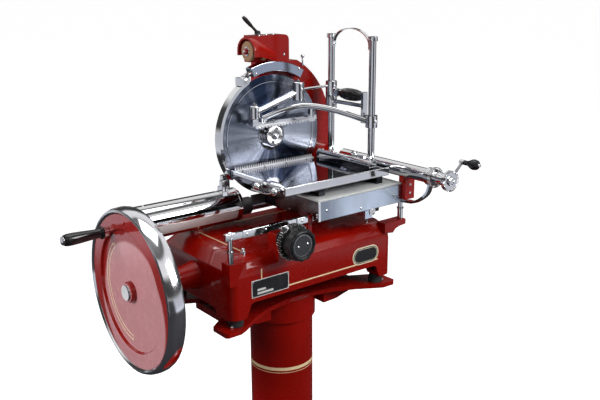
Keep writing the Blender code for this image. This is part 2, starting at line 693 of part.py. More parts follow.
def make_main_shaft(axis_point):
    """Shaft from the flywheel's cap to the mitre gear, its red housing and the crank pinion."""
    apex = CROSS_X - FLYWHEEL_FACE
    near = MITRE_DISTANCE
    far = MITRE_DISTANCE + MITRE_LENGTH
    cap = -HUB_PROUD - SEAT
    turned("main_shaft", "steel",
           [(0, cap - 0.0044), (0.010, cap - 0.0040), (0.0180, cap - 0.0022), (0.0190, cap - 0.0008),
            (0.0190, cap), (SHAFT_RADIUS, cap),
            (SHAFT_RADIUS, apex - far - 0.010), (0.018, apex - far - 0.010), (0.018, apex - far),
            (far - MESH_GAP, apex - far), (near - MESH_GAP, apex - near), (0, apex - near)],
           "X", axis_point)
    wall = BASE_LEFT
    reach = wall - FLYWHEEL_FACE - HUB_LENGTH - 0.0035
    turned("main_shaft_bearing", "enamel",
           [(SHAFT_RADIUS + RUNNING, -reach), (HOUSING_RADIUS - 0.012, -reach),
            (HOUSING_RADIUS - 0.010, -reach + 0.002), (HOUSING_RADIUS - 0.006, -0.045),
            (HOUSING_RADIUS, -0.010), (HOUSING_RADIUS + 0.002, -SEAT), (BEARING_RADIUS, -SEAT),
            (BEARING_RADIUS, 0.016), (SHAFT_RADIUS + RUNNING, 0.016)],
           "X", (wall, 0, SHAFT_LEVEL), closed=True)
    reach = math.sqrt((CRANK_WHEEL_RADIUS - 0.008) ** 2 - CRANK_Y ** 2)
    pinion_tip = CRANK_WHEEL_UNDERSIDE - SHAFT_LEVEL - MESH_GAP
    toothed_ring("crank_pinion", "steel", "X", (CRANK_X - reach, 0, SHAFT_LEVEL), SHAFT_RADIUS + SEAT,
                 pinion_tip - 0.004, pinion_tip, 14, CRANK_X - reach - 0.008, CRANK_X - reach + 0.008)


def crank_rest_angle():
    """Angle of the crank pin that puts the rod's other end on the drive pin at rest."""
    distance = DRIVE_PIN_X - CRANK_X
    cosine = (distance ** 2 + CRANK_THROW ** 2 - ROD_LENGTH ** 2) / (2 * distance * CRANK_THROW)
    return -math.acos(cosine)


def make_crank_drive():
    """Crank wheel on its post, its bracket and the rod that pushes the carriage."""
    under = CRANK_WHEEL_UNDERSIDE
    top = under + CRANK_WHEEL_THICKNESS
    hub_bottom = SHAFT_LEVEL + SHAFT_RADIUS + 0.004
    wheel = toothed_ring("crank_wheel", "cast_iron", "Z", (CRANK_X, CRANK_Y, under), 0.015,
                         CRANK_WHEEL_RADIUS - 0.003, CRANK_WHEEL_RADIUS, 24, under, top)
    hub = pipe("guide_crank_hub", "cast_iron", "Z", (CRANK_X, CRANK_Y, under), CRANK_POST_RADIUS + RUNNING,
               0.017, hub_bottom, top - 0.0005)
    join(wheel, hub)
    angle = crank_rest_angle()
    pin = (CRANK_X + CRANK_THROW * math.cos(angle), CRANK_Y + CRANK_THROW * math.sin(angle))
    pin_top = ROD_LEVEL - 0.003
    join(wheel, rod("guide_crank_pin", "cast_iron", "Z", (*pin, top), CRANK_PIN_RADIUS, top - 0.002,
                    pin_top, steps=16))
    arm_bottom = SHAFT_LEVEL - SHAFT_RADIUS
    arm_top = SHAFT_LEVEL + 0.005
    inner_wall = BASE_HALF_DEPTH - BASE_WALL - SEAT
    bracket = box("crank_bracket", "cast_iron", (CRANK_X - 0.016, SHAFT_RADIUS + 0.0015, arm_bottom),
                  (CRANK_X + 0.016, inner_wall, arm_top))
    join(bracket, rod("guide_crank_post", "cast_iron", "Z", (CRANK_X, CRANK_Y, under), CRANK_POST_RADIUS,
                      arm_top - 0.004, pin_top, steps=STEPS),
         rod("guide_crank_shoulder", "cast_iron", "Z", (CRANK_X, CRANK_Y, under), 0.0100,
             arm_top - 0.003, hub_bottom - SEAT))
    make_connecting_rod(pin)


def make_connecting_rod(crank_pin):
    low, high = ROD_LEVEL, ROD_LEVEL + ROD_THICKNESS
    small = Vector((DRIVE_PIN_X, CRANK_Y))
    big = Vector(crank_pin)
    direction = (big - small).normalized()
    side = Vector((-direction.y, direction.x))
    heading = math.degrees(math.atan2(direction.y, direction.x))
    outline = arc(small, 0.012, heading + 90, heading + 270, 8)
    outline += [tuple(small + direction * 0.018 - side * 0.008),
                tuple(big - direction * 0.018 - side * 0.008)]
    outline += arc(big, 0.014, heading - 90, heading + 90, 8)
    outline += [tuple(big - direction * 0.018 + side * 0.008),
                tuple(small + direction * 0.018 + side * 0.008)]
    rod_piece = prism("connecting_rod", "cast_iron", outline, "XY", low, high, origin=(*small, low))
    cut(rod_piece,
        rod("guide_small_eye", "cast_iron", "Z", (*small, low), DRIVE_PIN_RADIUS + RUNNING, low - 0.01,
            high + 0.01,
            steps=24),
        rod("guide_big_eye", "cast_iron", "Z", (*big, low), CRANK_PIN_RADIUS + RUNNING, low - 0.01,
            high + 0.01,
            steps=24))


def make_blade_drive():
    """Cross shaft with its mitre gear and sprocket, chain, blade shaft and blade."""
    near, far = MITRE_DISTANCE, MITRE_DISTANCE + MITRE_LENGTH
    chain_back = CHAIN_Y + CHAIN_WIDTH / 2 + 0.002
    lower = (CROSS_X, 0, SHAFT_LEVEL)
    turned("cross_shaft", "steel",
           [(0, near), (near - MESH_GAP, near), (far - MESH_GAP, far), (0.018, far), (0.018, far + 0.010),
            (SHAFT_RADIUS, far + 0.010), (SHAFT_RADIUS, CHAIN_Y - 0.003), (LOWER_SPROCKET, CHAIN_Y - 0.003),
            (LOWER_SPROCKET, CHAIN_Y + 0.003), (SHAFT_RADIUS, CHAIN_Y + 0.003), (SHAFT_RADIUS, chain_back),
            (0, chain_back)],
           "Y", lower)
    hanger = box("cross_shaft_bracket", "cast_iron", (CROSS_X - 0.022, far + 0.016, SHAFT_LEVEL - 0.020),
                 (BASE_RIGHT - BASE_WALL - SEAT, far + 0.034, SHAFT_LEVEL + 0.020))
    cut(hanger, rod("guide_hanger_bore", "cast_iron", "Y", (CROSS_X, 0, SHAFT_LEVEL),
                    SHAFT_RADIUS + RUNNING,
                    far, far + 0.05))
    upper = (BLADE_X, 0, BLADE_LEVEL)
    back_face = BLADE_FACE + BLADE_THICKNESS
    turned("blade_shaft", "chrome",
           [(0, BLADE_FACE - 0.0165), (0.008, BLADE_FACE - 0.0160), (0.018, BLADE_FACE - 0.0125),
            (0.026, BLADE_FACE - 0.006), (0.029, BLADE_FACE - SEAT), (SHAFT_RADIUS, BLADE_FACE - SEAT),
            (SHAFT_RADIUS, CHAIN_Y - 0.003), (UPPER_SPROCKET, CHAIN_Y - 0.003),
            (UPPER_SPROCKET, CHAIN_Y + 0.003),
            (SHAFT_RADIUS, CHAIN_Y + 0.003), (SHAFT_RADIUS, chain_back), (0, chain_back)],
           "Y", upper)
    blade_bore = SHAFT_RADIUS + SEAT
    turned("blade", "blade_steel",
           [(blade_bore, BLADE_FACE), (0.045, BLADE_FACE), (0.070, BLADE_FACE + 0.0018),
            (0.135, BLADE_FACE + 0.0018), (BLADE_RADIUS, BLADE_FACE + 0.0002),
            (BLADE_RADIUS - 0.0005, BLADE_FACE + 0.0008),
            (BLADE_RADIUS - 0.010, back_face), (0.050, back_face), (0.036, back_face + 0.0055),
            (blade_bore, back_face + 0.0055)],
           "Y", upper, closed=True, steps=FINE_STEPS)
    turned("blade_bearing", "bronze",
           [(SHAFT_RADIUS + RUNNING, STAND_FRONT - 0.0008), (BEARING_RADIUS, STAND_FRONT - 0.0008),
            (BEARING_RADIUS, STAND_FRONT + STAND_THICKNESS),
            (SHAFT_RADIUS + RUNNING, STAND_FRONT + STAND_THICKNESS)],
           "Y", upper, closed=True)
    make_chain(lower, upper)


def belt_outline(lower_radius, upper_radius, steps=10):
    """Outline in X and Z of a loop that runs round both sprockets."""
    low = Vector((CROSS_X, SHAFT_LEVEL))
    high = Vector((BLADE_X, BLADE_LEVEL))
    gap = high - low
    heading = math.degrees(math.atan2(gap.y, gap.x))
    spread = math.degrees(math.acos((lower_radius - upper_radius) / gap.length))
    return (arc(high, upper_radius, heading - spread, heading + spread, steps)
            + arc(low, lower_radius, heading + spread, heading + 360 - spread, steps + 4))


def make_chain(lower, upper):
    start, end = CHAIN_Y - CHAIN_WIDTH / 2, CHAIN_Y + CHAIN_WIDTH / 2
    inside = (LOWER_SPROCKET + SEAT, UPPER_SPROCKET + SEAT)
    outside = (inside[0] + CHAIN_THICKNESS, inside[1] + CHAIN_THICKNESS)
    chain = prism("drive_chain", "steel", belt_outline(*outside), "XZ", start, end)
    cut(chain, prism("guide_chain_inside", "steel", belt_outline(*inside), "XZ", start - 0.01, end + 0.01))
    cover_start = STAND_FRONT + STAND_THICKNESS + SEAT
    cover_end = CHAIN_Y + CHAIN_WIDTH / 2 + 0.009
    cover = prism("chain_cover", "enamel", belt_outline(outside[0] + 0.007, outside[1] + 0.009), "XZ",
                  cover_start, cover_end)
    cut(cover,
        prism("guide_cover_pocket", "enamel", belt_outline(outside[0] + 0.004, outside[1] + 0.005), "XZ",
              cover_start - 0.01, cover_end - 0.004),
        box("guide_cover_foot", "enamel", (CROSS_X - 0.2, cover_start - 0.01, SHAFT_LEVEL - 0.1),
            (CROSS_X + 0.2, cover_end + 0.01, BASE_TOP + SEAT)))


def make_stand():
    """Red casting that rises from the base and carries the blade, the guards and the sharpener."""
    centre = (BLADE_X, BLADE_LEVEL)
    foot = BASE_TOP + SEAT
    top_angle = math.degrees(math.asin((STAND_TOP - BLADE_LEVEL) / STAND_RADIUS))
    outline = [(STAND_LEFT, foot), (STAND_RIGHT, foot), (STAND_RIGHT, BLADE_LEVEL - 0.060)]
    outline += arc(centre, STAND_RADIUS, -9, top_angle, 14)
    outline += [(0.006, STAND_TOP), (0.004, STAND_TOP - 0.045), (0.002, BLADE_LEVEL + 0.070)]
    outline += [(-0.006, BLADE_LEVEL + 0.050)]
    outline += arc(centre, 0.046, 150, 230, 5)
    outline += [(STAND_LEFT - 0.025, BLADE_LEVEL - 0.105), (STAND_LEFT - 0.006, BLADE_LEVEL - 0.155)]
    back = STAND_FRONT + STAND_THICKNESS
    stand = prism("blade_stand", "enamel", outline, "XZ", STAND_FRONT, back)
    boss = box("guide_bar_boss", "enamel", (STAND_LEFT, BAR_Y - BAR_RADIUS - 0.006, foot),
               (STAND_LEFT + 0.050, back - 0.001, BAR_LEVEL + BAR_RADIUS + 0.006))
    join(stand, boss)
    cut(stand,
        rod("guide_bar_hole", "enamel", "X", (0, BAR_Y, BAR_LEVEL), BAR_RADIUS + SEAT, STAND_LEFT - 0.02,
            STAND_LEFT + 0.035),
        rod("guide_blade_hole", "enamel", "Y", (BLADE_X, 0, BLADE_LEVEL), BEARING_RADIUS + SEAT,
            STAND_FRONT - 0.02, back + 0.02))


def make_guards():
    centre = (BLADE_X, BLADE_LEVEL)
    back = STAND_FRONT - SEAT
    ring = prism("ring_guard", "chrome",
                 arc(centre, RING_OUTER, RING_START, RING_END, 20)
                 + arc(centre, RING_INNER, RING_END, RING_START, 20),
                 "XZ", RING_FRONT, back, smooth=True)
    tube_top = TUBE_LEVEL + TUBE_RADIUS + SEAT
    (high_x, high_z), (low_x, low_z) = (arc(centre, RING_OUTER, angle, angle, 1)[0]
                                        for angle in (RING_START, RING_END))
    clamp = box("guide_ring_clamp", "chrome", (low_x - 0.0228, BLADE_FACE - 0.001, tube_top + 0.006),
                (low_x - 0.0018, back, low_z + 0.0141))
    foot = box("guide_ring_foot", "chrome", (low_x - 0.0188, BLADE_FACE + 0.005, TUBE_LEVEL + 0.035),
               (low_x - 0.0038, BAR_Y + 0.012, tube_top + 0.010))
    cut(foot, rod("guide_tube_clearance", "chrome", "X", (0, BAR_Y, TUBE_LEVEL), TUBE_RADIUS + SEAT,
                  low_x - 0.04,
                  low_x + 0.02, steps=TUBE_STEPS))
    knob = box("guide_ring_knuckle", "chrome", (high_x - 0.0145, BLADE_FACE - 0.015, high_z - 0.007),
               (high_x + 0.0035, back, high_z + 0.013))
    start = TOP_GUARD_END + math.degrees(SEAT / TOP_GUARD_INNER)
    bridge = prism("guide_ring_bridge", "chrome",
                   arc(centre, RING_OUTER + 0.012, start, RING_START, 5) + arc(centre, RING_OUTER + 0.003,
                                                                               RING_START, start, 5),
                   "XZ", BLADE_FACE - 0.005, back)
    join(ring, clamp, foot, knob, bridge)
    prism("top_guard", "chrome",
          arc(centre, TOP_GUARD_OUTER, TOP_GUARD_START, TOP_GUARD_END, 14)
          + arc(centre, TOP_GUARD_INNER, TOP_GUARD_END, TOP_GUARD_START, 14),
          "XZ", TOP_GUARD_FRONT, back, smooth=True)


def hood_section(middle, half_width, rise, foot):
    """Arch of the hood across Y and Z, closed at the level of its foot."""
    outline = [(middle[0] + half_width * math.cos(angle), middle[1] + rise * math.sin(angle))
               for angle in (math.pi * step / 16 for step in range(17))]
    return outline + [(middle[0] - half_width, foot), (middle[0] + half_width, foot)]


def laid_along_x(item):
    """Turn a stack of (Y, Z) sections so that its height runs along X."""
    item.matrix_world = Matrix(((0, 0, 1, 0), (1, 0, 0, 0), (0, 1, 0, 0), (0, 0, 0, 1)))
    return item


def make_sharpener():
    """Housing with a tapering hood over two wheels, and the lever on its top."""
    bottom = STAND_TOP + SEAT
    top = bottom + SHARPENER_HEIGHT
    radius = 0.014
    housing_outline = [(SHARPENER_LEFT, bottom), (SHARPENER_RIGHT, bottom)]
    housing_outline += arc((SHARPENER_RIGHT - radius, top - radius), radius, 0, 90, 4)
    housing_outline += [(SHARPENER_LEFT, top)]
    housing = prism("sharpener_housing", "enamel", housing_outline, "XZ", SHARPENER_FRONT, SHARPENER_BACK)
    wide, rise = STONE_RADIUS + 0.0145, top - 0.0008 - STONE_LEVEL
    small = HONE_RADIUS + 0.0040
    left, right = STONE_X - 0.0015, HONE_X + 0.040
    near = (STONE_Y, STONE_LEVEL)
    far = (HONE_Y + 0.006, HONE_LEVEL - 0.005)
    level_end = STONE_X + STONE_THICKNESS + 0.004
    hood = laid_along_x(ring_stack("guide_hood", "enamel", [
        (hood_section(near, wide, rise, STONE_LEVEL - 0.012), left),
        (hood_section(near, wide, rise, STONE_LEVEL - 0.012), level_end),
        (hood_section(far, small, small, bottom + 0.004), right)]))
    inner, inner_rise, small_inner = wide - HOOD_WALL, rise - HOOD_WALL, small - 0.003
    below = STONE_LEVEL - 0.05
    inside = laid_along_x(ring_stack("guide_hood_inside", "enamel", [
        (hood_section(near, inner, inner_rise, below), left - 0.001),
        (hood_section(near, inner, inner_rise, below), level_end),
        (hood_section(far, small_inner, small_inner, below), right - 0.012)]))
    join(housing, hood)
    cut(housing, inside)
    bore = 0.0050 + RUNNING
    strut_end = level_end + 0.004
    spindle = turned("guide_stone_spindle", "enamel",
                     [(0, -0.0085), (0.0070, -0.0075), (0.0082, -0.0055), (0.0082, -SEAT), (0.0050, -SEAT),
                      (0.0050, STONE_THICKNESS + SEAT), (0.009, STONE_THICKNESS + SEAT),
                      (0.009, strut_end - STONE_X - 0.001), (0, strut_end - STONE_X - 0.001)],
                     "X", (STONE_X, STONE_Y, STONE_LEVEL), steps=16)
    strut = box("guide_stone_strut", "enamel",
                (STONE_X + STONE_THICKNESS + 0.001, STONE_Y - 0.005, STONE_LEVEL - 0.0055),
                (strut_end - 0.0007, STONE_Y + wide - 0.0033, STONE_LEVEL + 0.0052))
    join(housing, spindle, strut)
    turned("grinding_wheel", "stone",
           [(bore, 0), (STONE_RADIUS - 0.003, 0), (STONE_RADIUS, 0.002),
            (STONE_RADIUS, STONE_THICKNESS - 0.001), (STONE_RADIUS - 0.001, STONE_THICKNESS),
            (bore, STONE_THICKNESS)],
           "X", (STONE_X, STONE_Y, STONE_LEVEL), closed=True, steps=32)
    make_hone(housing)
    make_sharpener_lever(top)


def make_hone(housing):
    """Small second wheel on its own arm, its face turned down towards the blade's edge."""
    centre = Vector((HONE_X, HONE_Y, HONE_LEVEL))
    slant = Matrix.Rotation(-HONE_TILT, 4, "Y")
    hone = turned("honing_wheel", "stone",
                  [(0.0042, 0), (HONE_RADIUS - 0.002, 0), (HONE_RADIUS, 0.002),
                   (HONE_RADIUS, HONE_THICKNESS),
                   (0.0042, HONE_THICKNESS)],
                  "X", (0, 0, 0), closed=True, steps=24)
    hone.matrix_world = Matrix.Translation(centre) @ slant
    back = HONE_THICKNESS
    pin = turned("guide_hone_pin", "enamel",
                 [(0, -0.003), (0.0055, -0.003), (0.0065, -SEAT), (0.0040, -SEAT), (0.0040, back + SEAT),
                  (0.0060, back + SEAT), (0.0060, back + 0.016), (0, back + 0.016)],
                 "X", (0, 0, 0), steps=16)
    pin.matrix_world = Matrix.Translation(centre) @ slant
    reach = centre + slant @ Vector((back + 0.011, 0, 0))
    arm = box("guide_hone_arm", "enamel", (reach.x - 0.004, reach.y - 0.002, reach.z - 0.004),
              (reach.x + 0.006, SHARPENER_FRONT + 0.016, reach.z + 0.006))
    join(housing, pin, arm)


def make_sharpener_lever(top):
    pivot = Vector((0.023, SHARPENER_BACK - 0.024, top + 0.006))
    lean = math.radians(-47)
    lever = turned("sharpener_lever", "black_plastic",
                   [(0, 0), (0.0042, 0), (0.0036, 0.012), (0.0034, 0.022), (0.0048, 0.030), (0.0056, 0.052),
                    (0.0040, 0.060), (0, 0.0615)],
                   "Z", (0, 0, 0), steps=12)
    lever.matrix_world = Matrix.Translation(pivot) @ Matrix.Rotation(lean, 4, "Y")
    boss = turned("guide_lever_boss", "black_plastic",
                  [(0, -0.006), (0.0056, -0.006), (0.0056, 0.006), (0, 0.006)], "Y", (0, 0, 0), steps=16)
    boss.matrix_world = Matrix.Translation(pivot)
    join(lever, boss)


def make_rail():
    """Front rail on two pillars."""
    half = RAIL_DEPTH / 2
    bottom = RAIL_TOP - RAIL_HEIGHT
    rail = box("front_rail", "chrome", (RAIL_LEFT, RAIL_Y - half, bottom),
               (RAIL_RIGHT, RAIL_Y + half, RAIL_TOP))
    for side, x, seat in (("left", PILLAR_LEFT_X, BASE_TOP - 0.004), ("right", PILLAR_RIGHT_X, BASE_TOP)):
        pillar = turned("guide_pillar_" + side, "chrome",
                        [(0, 0), (PILLAR_RADIUS + 0.0012, 0), (PILLAR_RADIUS + 0.0012, 0.026),
                         (PILLAR_RADIUS, 0.027),
                         (PILLAR_RADIUS, bottom - seat + 0.004), (0, bottom - seat + 0.004)],
                        "Z", (x, RAIL_Y, seat + SEAT), steps=16)
        join(rail, pillar)


def make_guide_tube():
    """Chrome tube with a slot along its front, and the bar inside it that the carriage slides on."""
    centre = (0, BAR_Y, TUBE_LEVEL)
    inner = TUBE_RADIUS - TUBE_WALL
    tube = turned("guide_tube", "chrome",
                  [(0, TUBE_LEFT), (TUBE_RADIUS, TUBE_LEFT), (TUBE_RADIUS, TUBE_RIGHT), (inner, TUBE_RIGHT),
                   (inner, TUBE_LEFT + 0.008), (0, TUBE_LEFT + 0.008)],
                  "X", centre, steps=TUBE_STEPS)
    arm_top = BAR_LEVEL + SLEEVE_RADIUS + ARM_THICKNESS - 0.0015
    slot_low = arm_top - ARM_THICKNESS - 0.0015
    cut(tube,
        box("guide_tube_slot", "chrome", (TUBE_LEFT + 0.020, BAR_Y - TUBE_RADIUS - 0.01, slot_low),
            (TUBE_RIGHT + 0.01, BAR_Y - inner * 0.6, arm_top + 0.002)),
        rod("guide_bar_seat", "chrome", "X", (0, BAR_Y, BAR_LEVEL), BAR_RADIUS + SEAT, TUBE_LEFT - 0.01,
            TUBE_LEFT + 0.02))
    rod("rear_guide_bar", "steel", "X", (0, BAR_Y, BAR_LEVEL), BAR_RADIUS, TUBE_LEFT + 0.001,
        STAND_LEFT + 0.034)
    sleeve = pipe("slide_sleeve", "cast_iron", "X", (0, BAR_Y, BAR_LEVEL), BAR_RADIUS + RUNNING,
                  SLEEVE_RADIUS,
                  SLEEVE_LEFT, SLEEVE_RIGHT)
    arm = box("guide_sleeve_arm", "cast_iron", (SLEEVE_LEFT + 0.004, CARRIAGE_BACK + 0.001,
                                                arm_top - ARM_THICKNESS),
              (SLEEVE_RIGHT, BAR_Y, arm_top))
    heel = box("guide_sleeve_heel", "cast_iron", (SLEEVE_RIGHT - 0.030, CARRIAGE_BACK + SEAT,
                                                  CARRIAGE_BOTTOM + 0.002),
               (CARRIAGE_LEFT + 0.040, CARRIAGE_BACK + 0.008, arm_top + 0.020))
    join(sleeve, arm, heel)


def make_dial():
    centre = (DIAL_X, 0, DIAL_LEVEL)
    turned("dial_housing", "black_plastic",
           [(0, DIAL_BACK), (DIAL_NECK_RADIUS, DIAL_BACK), (DIAL_NECK_RADIUS, DIAL_RING_BACK),
            (DIAL_RING_RADIUS, DIAL_RING_BACK), (DIAL_RING_RADIUS, DIAL_RING_FRONT + 0.002),
            (DIAL_RING_RADIUS - 0.002, DIAL_RING_FRONT), (0, DIAL_RING_FRONT)],
           "Y", centre, steps=36)
    front = DIAL_RING_FRONT - SEAT
    knob = toothed_ring("thickness_knob", "black_plastic", "Y", (DIAL_X, front, DIAL_LEVEL), 0.034,
                        DIAL_KNOB_RADIUS - 0.0022, DIAL_KNOB_RADIUS, 12, front - DIAL_KNOB_LENGTH,
                        front - 0.003,
                        end_scale=0.93)
    core = turned("guide_knob_core", "black_plastic",
                  [(0, 0), (0.0365, 0), (0.0365, -DIAL_KNOB_LENGTH + 0.004),
                   (0, -DIAL_KNOB_LENGTH + 0.004)],
                  "Y", (DIAL_X, front, DIAL_LEVEL), steps=36)
    join(knob, core)


def make_carriage():
    """Open box that runs on the front rail and the rear bar, with its plate, roller and drive pin."""
    left, right, front, back = CARRIAGE_LEFT, CARRIAGE_RIGHT, CARRIAGE_FRONT, CARRIAGE_BACK
    low, high, wall = CARRIAGE_BOTTOM, CARRIAGE_BOTTOM + CARRIAGE_HEIGHT, CARRIAGE_WALL
    frame = box("carriage_frame", "chrome", (left, front, low), (right, back, high))
    rail_clear = 0.003
    rail_half = RAIL_DEPTH / 2
    cut(frame,
        box("guide_frame_inside", "chrome", (left + wall, front + wall, low - 0.01),
            (right - wall, back - wall, high + 0.01)),
        box("guide_rail_notch", "chrome", (left - 0.01, RAIL_Y - rail_half - rail_clear, low - 0.01),
            (right + 0.01, RAIL_Y + rail_half + rail_clear, RAIL_TOP + rail_clear)))
    web = box("guide_frame_web", "chrome", (DRIVE_PIN_X - 0.012, front + wall - 0.001, high - 0.020),
              (DRIVE_PIN_X + 0.012, back - wall + 0.001, high - 0.001))
    axle_level = RAIL_TOP + ROLLER_RADIUS + SEAT
    axle = rod("guide_roller_axle", "chrome", "Y", (KEEPER_X + 0.060, 0, axle_level), 0.004,
               front + wall - 0.001,
               RAIL_Y + 0.008, steps=16)
    keeper = box("guide_keeper", "chrome", (KEEPER_X - 0.013, front + 0.0005,
                                            RAIL_TOP - RAIL_HEIGHT - 0.020),
                 (KEEPER_X + 0.013, front + 0.005, low + 0.010))
    toe = box("guide_keeper_toe", "chrome", (KEEPER_X - 0.009, front + 0.003,
                                             RAIL_TOP - RAIL_HEIGHT - 0.0165),
              (KEEPER_X + 0.009, RAIL_Y + 0.003, RAIL_TOP - RAIL_HEIGHT - 0.0015))
    join(frame, web, axle, keeper, toe)
    pipe("rail_roller", "steel", "Y", (KEEPER_X + 0.060, 0, axle_level), 0.004 + RUNNING, ROLLER_RADIUS,
         RAIL_Y - 0.006, RAIL_Y + 0.006, steps=24)
    box("carriage_top_plate", "white_plate", (left - 0.001, front - 0.001, high + SEAT),
        (right + 0.002, back + 0.001, high + SEAT + TOP_PLATE))
    rod("drive_pin", "steel", "Z", (DRIVE_PIN_X, CRANK_Y, 0), DRIVE_PIN_RADIUS, ROD_LEVEL - 0.0015,
        high - 0.020 - SEAT, steps=24)


def make_feed():
    """Feed tube with the screw, nut, ratchet, hand wheel and crank."""
    centre = (FEED_X, 0, FEED_LEVEL)
    inner = FEED_TUBE_RADIUS - FEED_TUBE_WALL
    tube = pipe("feed_tube", "chrome", "Y", centre, inner, FEED_TUBE_RADIUS, FEED_TUBE_FRONT,
                FEED_TUBE_BACK)
    nut_half = 0.014
    arm_half = 0.0035
    slot_clear = 0.0015
    cut(tube, box("guide_nut_slot", "chrome",
                  (FEED_X - FEED_TUBE_RADIUS - 0.01, -FEED_TRAVEL - 2 * nut_half,
                   FEED_LEVEL - arm_half - slot_clear),
                  (FEED_X - inner * 0.5, 2 * nut_half, FEED_LEVEL + arm_half + slot_clear)))
    nut = pipe("feed_nut", "bronze", "Y", centre, FEED_SCREW_RADIUS + RUNNING, inner - 0.001, -nut_half,
               nut_half,
               steps=24)
    join(nut, box("guide_nut_arm", "bronze", (TRAY_RIGHT + SEAT, -nut_half + 0.004, FEED_LEVEL - arm_half),
                  (FEED_X - 0.010, nut_half - 0.004, FEED_LEVEL + arm_half)))
    block_top = FEED_LEVEL - FEED_TUBE_RADIUS - SEAT
    block_left = CARRIAGE_RIGHT + TOP_PLATE
    front, back = CARRIAGE_FRONT - 0.013, CARRIAGE_FRONT + 0.011
    block = box("feed_block", "enamel", (block_left - 0.0027, front, CARRIAGE_BOTTOM + 0.008),
                (FEED_X + 0.026, back, block_top - 0.004))
    saddle = box("guide_feed_saddle", "enamel", (FEED_X - 0.012, front + 0.004, block_top - 0.010),
                 (FEED_X + 0.012, back - 0.004, FEED_LEVEL))
    cut(saddle, rod("guide_saddle_bore", "enamel", "Y", centre, FEED_TUBE_RADIUS + SEAT, -0.25, -0.10))
    join(block, saddle)
    cut(block, box("guide_plate_notch", "enamel",
                   (CARRIAGE_RIGHT - 0.02, front - 0.014, CARRIAGE_BOTTOM + CARRIAGE_HEIGHT - 0.0005),
                   (CARRIAGE_RIGHT + 0.0025, back + 0.012, CARRIAGE_BOTTOM + CARRIAGE_HEIGHT + 0.008)))
    make_feed_bracket(centre)
    make_feed_crank(centre)


def make_feed_bracket(centre):
    """Curved arm that holds the front bearing of the screw and bolts up under the red block."""
    ring_back = FEED_TUBE_FRONT - SEAT
    ring_front = ring_back - 0.010
    bracket = pipe("feed_end_bracket", "chrome", "Y", centre, FEED_SCREW_RADIUS + RUNNING, 0.0225,
                   ring_front,
                   ring_back)
    drop = [(-0.0055, 0.012), (-0.0053, 0.026), (0.002, 0.046), (0.020, 0.063), (0.046, 0.078)]
    path = smooth_path([(FEED_X, FEED_TUBE_FRONT + y, FEED_LEVEL - z) for y, z in drop]
                       + [(FEED_X, CARRIAGE_FRONT + 0.003, CARRIAGE_BOTTOM + 0.0025)], 12)
    arm = swept("guide_bracket_arm", "chrome", path, 0.0034, 0.0080, 4, up=(1, 0, 0))
    join(bracket, arm)
    cut(bracket, box("guide_bracket_seat", "chrome",
                     (FEED_X - 0.03, CARRIAGE_FRONT - 0.017, CARRIAGE_BOTTOM + 0.008 - SEAT),
                     (FEED_X + 0.03, CARRIAGE_FRONT + 0.033, CARRIAGE_BOTTOM + 0.053)))


def make_feed_crank(centre):
    hand_front = FEED_TUBE_FRONT - 0.072
    rod("feed_screw", "steel", "Y", centre, FEED_SCREW_RADIUS, hand_front + 0.004, FEED_TUBE_BACK - 0.008,
        steps=16)
    bore = FEED_SCREW_RADIUS + SEAT
    ratchet_back = FEED_TUBE_FRONT - 0.010 - 3 * SEAT
    waist = [(RATCHET_RADIUS, 0.048), (0.0135, 0.046), (0.0155, 0.040), (0.0155, 0.028), (0.0135, 0.022),
             (0.0150, 0.014), (HAND_WHEEL_RADIUS - 0.002, 0.012), (HAND_WHEEL_RADIUS, 0.010),
             (HAND_WHEEL_RADIUS, 0.003)]
    profile = [(bore, ratchet_back), (RATCHET_RADIUS, ratchet_back)]
    profile += [(radius, hand_front + back) for radius, back in waist]
    profile += [(HAND_WHEEL_RADIUS - 0.003, hand_front), (0.012, hand_front), (0.011, hand_front - 0.0045),
                (0, hand_front - 0.0055), (0, hand_front + 0.0035), (bore, hand_front + 0.0035)]
    wheel = turned("feed_wheel", "chrome", profile, "Y", centre, closed=True)
    direction = Vector((math.cos(CRANK_ARM_ANGLE), 0, math.sin(CRANK_ARM_ANGLE)))
    hub = Vector((FEED_X, hand_front + 0.004, FEED_LEVEL))
    end = hub + direction * CRANK_ARM_LENGTH
    arm = swept("guide_crank_arm", "chrome", smooth_path([hub + direction * 0.016, hub + direction * 0.034,
                                                          end], 4),
                0.0042, 0.0036, 10, up=(0, 1, 0))
    boss = turned("guide_crank_boss", "chrome",
                  [(0, 0.006), (0.0060, 0.006), (0.0066, 0.0), (0.0060, -0.006), (0.0035, -0.006),
                   (0.0035, -0.052),
                   (0.0046, -0.052), (0.0040, -0.0555), (0, -0.056)],
                  "Y", tuple(end), steps=16)
    join(wheel, arm, boss)
    turned("feed_crank_knob", "black_plastic",
           [(0.0037, -0.0063), (0.0062, -0.0063), (0.0060, -0.018), (0.0085, -0.024), (0.0122, -0.031),
            (BALL_RADIUS, -0.038), (0.0118, -0.046), (0.0078, -0.0505), (0.0037, -0.0517)],
           "Y", tuple(end), closed=True, steps=24)


